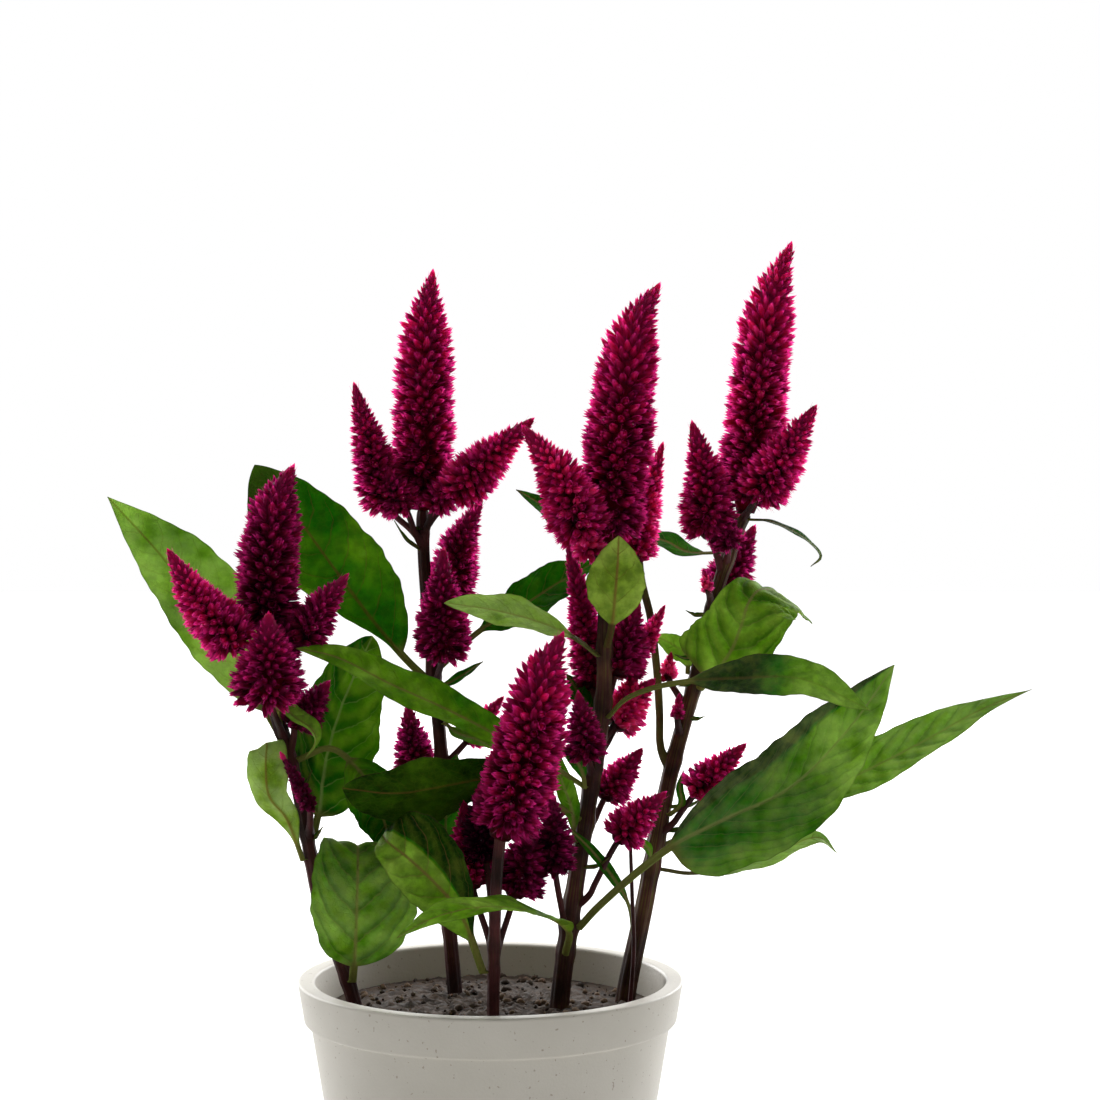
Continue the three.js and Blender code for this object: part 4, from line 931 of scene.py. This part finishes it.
def make_leaf(name, curve, root, stalk, width, face, fold, peak=0.4, tone=0.5, rib=0.3, quilt=1.0, dust=0.0,
              patch=0.0, lines=1.0, slant=0.8, fade=0.0, tip=0.0, stem_tone=0.0, full=1.7, sides=(1, 1), skew=(1, 1),
              strip=(0, 0), strip_from=0.6, replaced=()):
    """A leaf of two skins along a curve, with its stalk's foot at the place `root` inside the stem."""
    rng = random_for(name)
    rows = int(np.clip(curve.length * ROWS_PER_MM, FEWEST_ROWS, MOST_ROWS))
    t = np.concatenate([np.linspace(0, stalk, STALK_ROWS, endpoint=False), np.linspace(stalk, 1, rows)])
    origin, side, normal = carried_frames(curve, t, np.array(face, float), stalk + (1 - stalk) * peak)
    q = np.clip((t - stalk) / (1 - stalk), 0, 1)
    scale = min(1.0, width / FULL_WIDTH)
    stout = max(0.5, scale)
    on_blade = (smooth(0.0, 0.10, q) * (t >= stalk))[:, None]
    petiole = (LEAF_STALK_WIDTH * stout / 2 * (1 - q) ** 2 + LEAF_TIP_HALF) * (1 - smooth(0.0, 0.25, q))
    x = np.linspace(-1, 1, 2 * (SMALL_HALF_COLUMNS if width < SMALL_WIDTH else HALF_COLUMNS) + 1)[None, :]
    x = np.sign(x) * np.abs(x) ** 1.15
    size = np.abs(x)
    left, right = (width / 2 * sides[k] * np.where(t < stalk, 0, blade_share(q ** skew[k], peak, full))
                   for k in range(2))
    blade = np.where(x > 0, left[:, None], right[:, None])
    half = np.sqrt(blade**2 + petiole[:, None] ** 2 + (LEAF_TIP_HALF * 0.5) ** 2)
    off = size * half
    q = q[:, None]

    # The halves' fold, a wavy margin and the swell between the lateral veins.
    rise = math.tan(math.radians(fold))
    begin_left, begin_right, begin_vein = rng.uniform(0, 2 * math.pi, 3)
    waves = 2 * math.pi * rng.uniform(2.2, 3.6) * q
    wave = np.where(x < 0, np.sin(waves + begin_left), np.sin(0.9 * waves + begin_right))
    lift = off * rise - 0.2 * rise * half * size**2 * on_blade
    lift = lift + WAVE_HEIGHT * width * wave * size**2.5 * on_blade * np.sin(math.pi * q)
    phase = (t[:, None] * curve.length - off * (slant + VEIN_BEND * size**3)) / (VEIN_SPACING * stout) + begin_vein
    swell = np.abs(np.cos(math.pi * phase)) ** 0.7 - 0.6
    lift = lift + swell * QUILT_HEIGHT * quilt * scale * np.clip(off / 2.5, 0, 1) * (1 - size**4) * on_blade

    # Two skins that meet at the margins. The midrib stands out below and is grooved above.
    thin = BLADE_HALF_THICK * (1 - 0.75 * size**6)
    round_stalk = LEAF_STALK_THICKNESS * stout / 2 * np.sqrt(np.clip(1 - x**2, 0, 1))
    body = thin * on_blade + round_stalk * (1 - on_blade)
    rib_size = LEAF_STALK_THICKNESS * RIB_SHARE * (1 - 0.85 * q) * scale
    rib_shape = np.exp(-((off / (RIB_WIDTH * (1 - 0.5 * q) * stout)) ** 2))
    above = body - RIB_GROOVE * scale * rib_shape
    below = body + rib_size * rib_shape * on_blade
    ragged = 1 + sum(far * np.sin(often * q + begin)
                     for (far, often), begin in zip(RAGGED, (begin_left, begin_right)))
    middle = origin[:, None] + side[:, None] * (x * half * ragged)[..., None]
    upper = middle + normal[:, None] * (lift + above)[..., None]
    under = middle + normal[:, None] * (lift - below)[..., None]
    ring = np.concatenate([upper, under[:, -2:0:-1]], axis=1)
    ring = np.concatenate([ring[:1] + (root - origin[0]), ring])

    columns = x.shape[1]
    order = np.concatenate([np.arange(columns), np.arange(columns - 2, 0, -1)])
    veins = triple(phase, off, np.where(t[:, None] < stalk, OFF_STALK, half - off))[:, order]
    # Painted shade (below 0) and painted light (above 0), added to the tone of the left and right margins.
    strips = sum(strip[k] * smooth(strip_from, strip_from + 0.12, way * x[0, order]) for k, way in enumerate((1, -1)))
    q = np.concatenate([[[0]], q])
    faces = tube_faces(len(ring), len(order))
    skins = np.where(np.tile(np.arange(len(order)) < columns - 1, len(ring) - 1), 0, 1)
    shape = Shape()
    shape.add(ring, faces, triple(q, tone + fade * (smooth(0.3, 0.65, q) - 0.5) + strips, rib),
              np.concatenate([veins[:1], veins]), (dust, patch, quilt), (tip, stem_tone, lines), skins=[skins])
    shape.piece(f"blade_{name}", LEAF_SKINS, "leaf", *replaced, crease=50)


def make_stem_leaf(name, stem, start, path, stalk, width, nudge=(0, 0), lean=(0, 0), wide=1.0, slim=None, **look):
    """A leaf that leaves a stem at the height `start`."""
    shifts = np.array(nudge) + np.linspace(0, 1, len(path))[:, None] * lean
    way = [place(p, *shift) for p, shift in zip(path, shifts)]
    if slim:
        stalk, look["peak"] = slim
    curve = Curve([seat_on_stem(stem, start, way[0], LEAF_STALK_REACH), *way])
    make_leaf(name, curve, stem_place(stem, start), stalk, width * wide, **look)


def make_bract(name, stem, height, tip):
    t = stem_share(stem, height)
    foot, tip = STEM_CURVES[stem].at(t), place(tip)
    bend = foot + (tip - foot) * 0.6 + np.array([0, 0, -0.12]) * np.linalg.norm(tip - foot)
    curve = Curve([foot + unit(tip - foot) * stem_radius(stem, t) * 0.9, bend, tip])
    make_leaf(name, curve, foot, stalk=0.05, width=2.8, face=(0, -0.6, 0.8), fold=20, peak=0.3, tone=0.35)


# ---- Pot and potting mix ----
POT_SIDES, SOIL_SIDES, SOIL_ROWS = 144, 160, 46
LATHE_AXIS = 0.01  # the radius of an outline's end on the axis
CRUMBS, CRUMB_TURNS, CRUMB_ROWS = 420, 7, 5  # loose bits on the potting mix
CRUMB_SIZES = (0.5, 2.1)
CRUMB_TONES = [0.0, 0.25, 0.9]
SOIL_BUMPS = (9.0, 0.7), (4.0, 0.6), (2.2, 0.35)  # their width and height


def wall_radius(z):
    return POT_BASE_RADIUS + (POT_TOP_RADIUS - RIM_STEP - POT_BASE_RADIUS) * (z / POT_HEIGHT)


def soil_height(share):
    return SOIL_TOP + SOIL_CROWN * (1 - smooth(0.6, 1.0, share))


def rounded(outline, radius, steps=5):
    """An outline of [radius, height] with its inner corners rounded."""
    made = [outline[0]]
    for corner in zip(outline, outline[1:], outline[2:]):
        a, b, c = np.array(corner, float)
        cut = min(radius, np.linalg.norm(a - b) * 0.45, np.linalg.norm(c - b) * 0.45)
        p, r = b + unit(a - b) * cut, b + unit(c - b) * cut
        made += [tuple((1 - s) ** 2 * p + 2 * s * (1 - s) * b + s**2 * r) for s in np.linspace(0, 1, steps)]
    return [*made, outline[-1]]


def lathe(shape, outline, sides, tone=0.0):
    radius, height = np.array(outline, float).T[:, :, None]
    angle = turns(sides)
    points = triple(radius * np.cos(angle), radius * np.sin(angle), height)
    shape.add(points, [grid_faces(len(outline), sides, closed=True)], (0.0, tone, 0.0))


def make_pot():
    foot = POT_HEIGHT - RIM_HEIGHT
    outline = [
        (LATHE_AXIS, 0), (POT_BASE_RADIUS, 0), (wall_radius(foot), foot), (wall_radius(foot) + RIM_STEP, foot),
        (POT_TOP_RADIUS, POT_HEIGHT), (wall_radius(POT_HEIGHT) - POT_WALL, POT_HEIGHT),
        (wall_radius(POT_FLOOR) - POT_WALL, POT_FLOOR), (LATHE_AXIS, POT_FLOOR)]
    shape = Shape()
    lathe(shape, rounded(outline, POT_EDGE), POT_SIDES)
    pot = shape.piece("pot_body", [pot_material()], "pot", "pot", crease=50)
    for i in range(DRAIN_COUNT):
        turn = math.pi * 2 * (i + 0.5) / DRAIN_COUNT
        bpy.ops.mesh.primitive_cylinder_add(
            vertices=32, radius=DRAIN_RADIUS * MM, depth=POT_FLOOR * 4 * MM,
            location=(DRAIN_CIRCLE * MM * math.cos(turn), DRAIN_CIRCLE * MM * math.sin(turn), 0))
        drill = bpy.context.object
        cut = pot.modifiers.new("drain", "BOOLEAN")
        cut.object, cut.operation = drill, "DIFFERENCE"
        bpy.context.view_layer.objects.active = pot
        bpy.ops.object.modifier_apply(modifier=cut.name)
        bpy.data.objects.remove(drill)


def add_crumbs(shape, edge, rng):
    """Lumpy, flattened bits that lie half sunk in the potting mix."""
    down = np.linspace(0.12, math.pi - 0.12, CRUMB_ROWS)[:, None]
    turn = turns(CRUMB_TURNS)
    ball = triple(np.sin(down) * np.cos(turn), np.sin(down) * np.sin(turn), np.cos(down))
    for _ in range(CRUMBS):
        size = CRUMB_SIZES[0] + (CRUMB_SIZES[1] - CRUMB_SIZES[0]) * rng.random() ** 2.5
        away, angle = (edge - 3) * math.sqrt(rng.random()), rng.uniform(0, 2 * math.pi)
        middle = np.array([away * math.cos(angle), away * math.sin(angle), soil_height(away / edge) + 0.3 * size])
        lumps = ball * size * rng.uniform(0.7, 1.15, (CRUMB_ROWS, CRUMB_TURNS, 1)) * (1, rng.uniform(0.5, 1), 0.7)
        swing = rng.uniform(0, math.pi)
        x, y, z = lumps[..., 0], lumps[..., 1], lumps[..., 2]
        turned = triple(x * math.cos(swing) - y * math.sin(swing), x * math.sin(swing) + y * math.cos(swing), z)
        shape.add(middle + turned, tube_faces(CRUMB_ROWS, CRUMB_TURNS), (0.0, rng.choice(CRUMB_TONES), 0.0))


def make_soil():
    rng = random_for("soil")
    shape = Shape()
    edge = wall_radius(SOIL_TOP) - POT_WALL - 0.4
    outline = [(r, soil_height(r / edge)) for r in np.linspace(0.5, edge, SOIL_ROWS)]
    lathe(shape, [*outline, (edge - 1.0, SOIL_TOP - 8)], SOIL_SIDES, 0.1)
    points = shape.points[0]
    bumps = np.zeros(len(points))
    for size, height in SOIL_BUMPS:
        kx, ky = rng.normal(0, 2 * math.pi / size, (2, 14))
        phases = rng.uniform(0, 2 * math.pi, 14)
        bumps += height * np.sin(points[:, :1] * kx + points[:, 1:2] * ky + phases).sum(axis=1) / 5
    points[:, 2] += np.where(np.hypot(points[:, 0], points[:, 1]) < edge - 0.5, bumps, 0)
    add_crumbs(shape, edge, rng)
    shape.piece("soil_body", [soil_material()], "potting_mix", "potting_mix")


# ---- Build ----
side_curves = {name: [] for name in STEMS}
for name in STEMS:
    make_stem(name)
for name, look in (SPIKES | BUDS).items():
    curve, begin = make_spike(name, **look)
    if look["start"] is not None:
        side_curves[look["stem"]].append((curve, begin, look["start"]))
for name, curves in side_curves.items():
    make_side_stalks(name, curves)
for name, look in LEAVES.items():
    make_stem_leaf(name, replaced=(name,), **look)
for name, look in SMALL_LEAVES.items():
    make_stem_leaf(name, **look)
for number, bract in enumerate(BRACTS, 1):
    make_bract(f"bract_{number}", *bract)
for number, twig in enumerate(TWIGS, 1):
    make_twig(f"twig_{number}", *twig)
make_pot()
make_soil()

# ---- Floor, light and camera, in metres ----
FLOOR_HALF = 3.0
AMBIENT_FRONT, AMBIENT_BACK = 0.08, 0.45  # the surround's light on the plant, from the front and from behind
SUNS = {  # strength, spread in degrees and the way each shines
    "top": (1.5, 50, (0.1, 0.05, -1.0)), "left": (2.5, 40, (0.75, -0.85, -0.45)),
    "right": (2.5, 40, (-0.75, -0.85, -0.45))}
LAMP_PLACE, LAMP_TARGET = Vector((0.0, 1.5, 0.7)), Vector((0.0, 0.0, 0.22))
LAMP_SIZE, LAMP_POWER = 2.2, 30
CAMERA_EYE, CAMERA_TARGET = Vector((0.0216, -1.1472, 0.3460)), Vector((0.0216, 0.0, 0.2658))
FRAME_WIDTH, SENSOR_WIDTH = 0.396, 36


def make_floor():
    mesh = bpy.data.meshes.new("floor")
    corners = [(x * FLOOR_HALF, y * FLOOR_HALF, 0) for x, y in ((-1, -1), (1, -1), (1, 1), (-1, 1))]
    mesh.from_pydata(corners, [], [(0, 1, 2, 3)])
    mesh.materials.append(floor_material())
    made = add_object("floor", mesh)


def make_light(name, kind, power, where=(0, 0, 0), towards=None, **settings):
    data = bpy.data.lights.new(name, kind)
    data.energy = power
    for key, value in settings.items():
        setattr(data, key, value)
    add_object(name, data, where, towards)


def make_world():
    """A white surround, whose light on the plant is weaker than its own white, so that colours stay deep."""
    n = Nodes(bpy.data.worlds.new("studio"))
    ambient = n.fit(n.split(n.place("Generated"))[1], -1.0, 1.0, AMBIENT_FRONT, AMBIENT_BACK, "LINEAR")
    lit, seen = (n.new("ShaderNodeBackground", {"Color": (1, 1, 1, 1), "Strength": power}) for power in (ambient, 1.0))
    is_seen = n.new("ShaderNodeLightPath", {}, out="Is Camera Ray")
    mix = n.new("ShaderNodeMixShader", {0: is_seen, 1: lit, 2: seen})
    bpy.context.scene.world = n.finish(mix, "ShaderNodeOutputWorld")


def make_camera():
    data = bpy.data.cameras.new("camera")
    data.sensor_width = SENSOR_WIDTH
    data.lens = SENSOR_WIDTH * (CAMERA_TARGET - CAMERA_EYE).length / FRAME_WIDTH
    bpy.context.scene.camera = add_object("camera", data, CAMERA_EYE, CAMERA_TARGET - CAMERA_EYE)


make_floor()
make_world()
for name, (strength, spread, way) in SUNS.items():
    make_light(name, "SUN", strength, towards=way, angle=math.radians(spread))
make_light("back", "AREA", LAMP_POWER, LAMP_PLACE, LAMP_TARGET - LAMP_PLACE, size=LAMP_SIZE)
make_camera()
bpy.context.scene.view_settings.view_transform = "Standard"
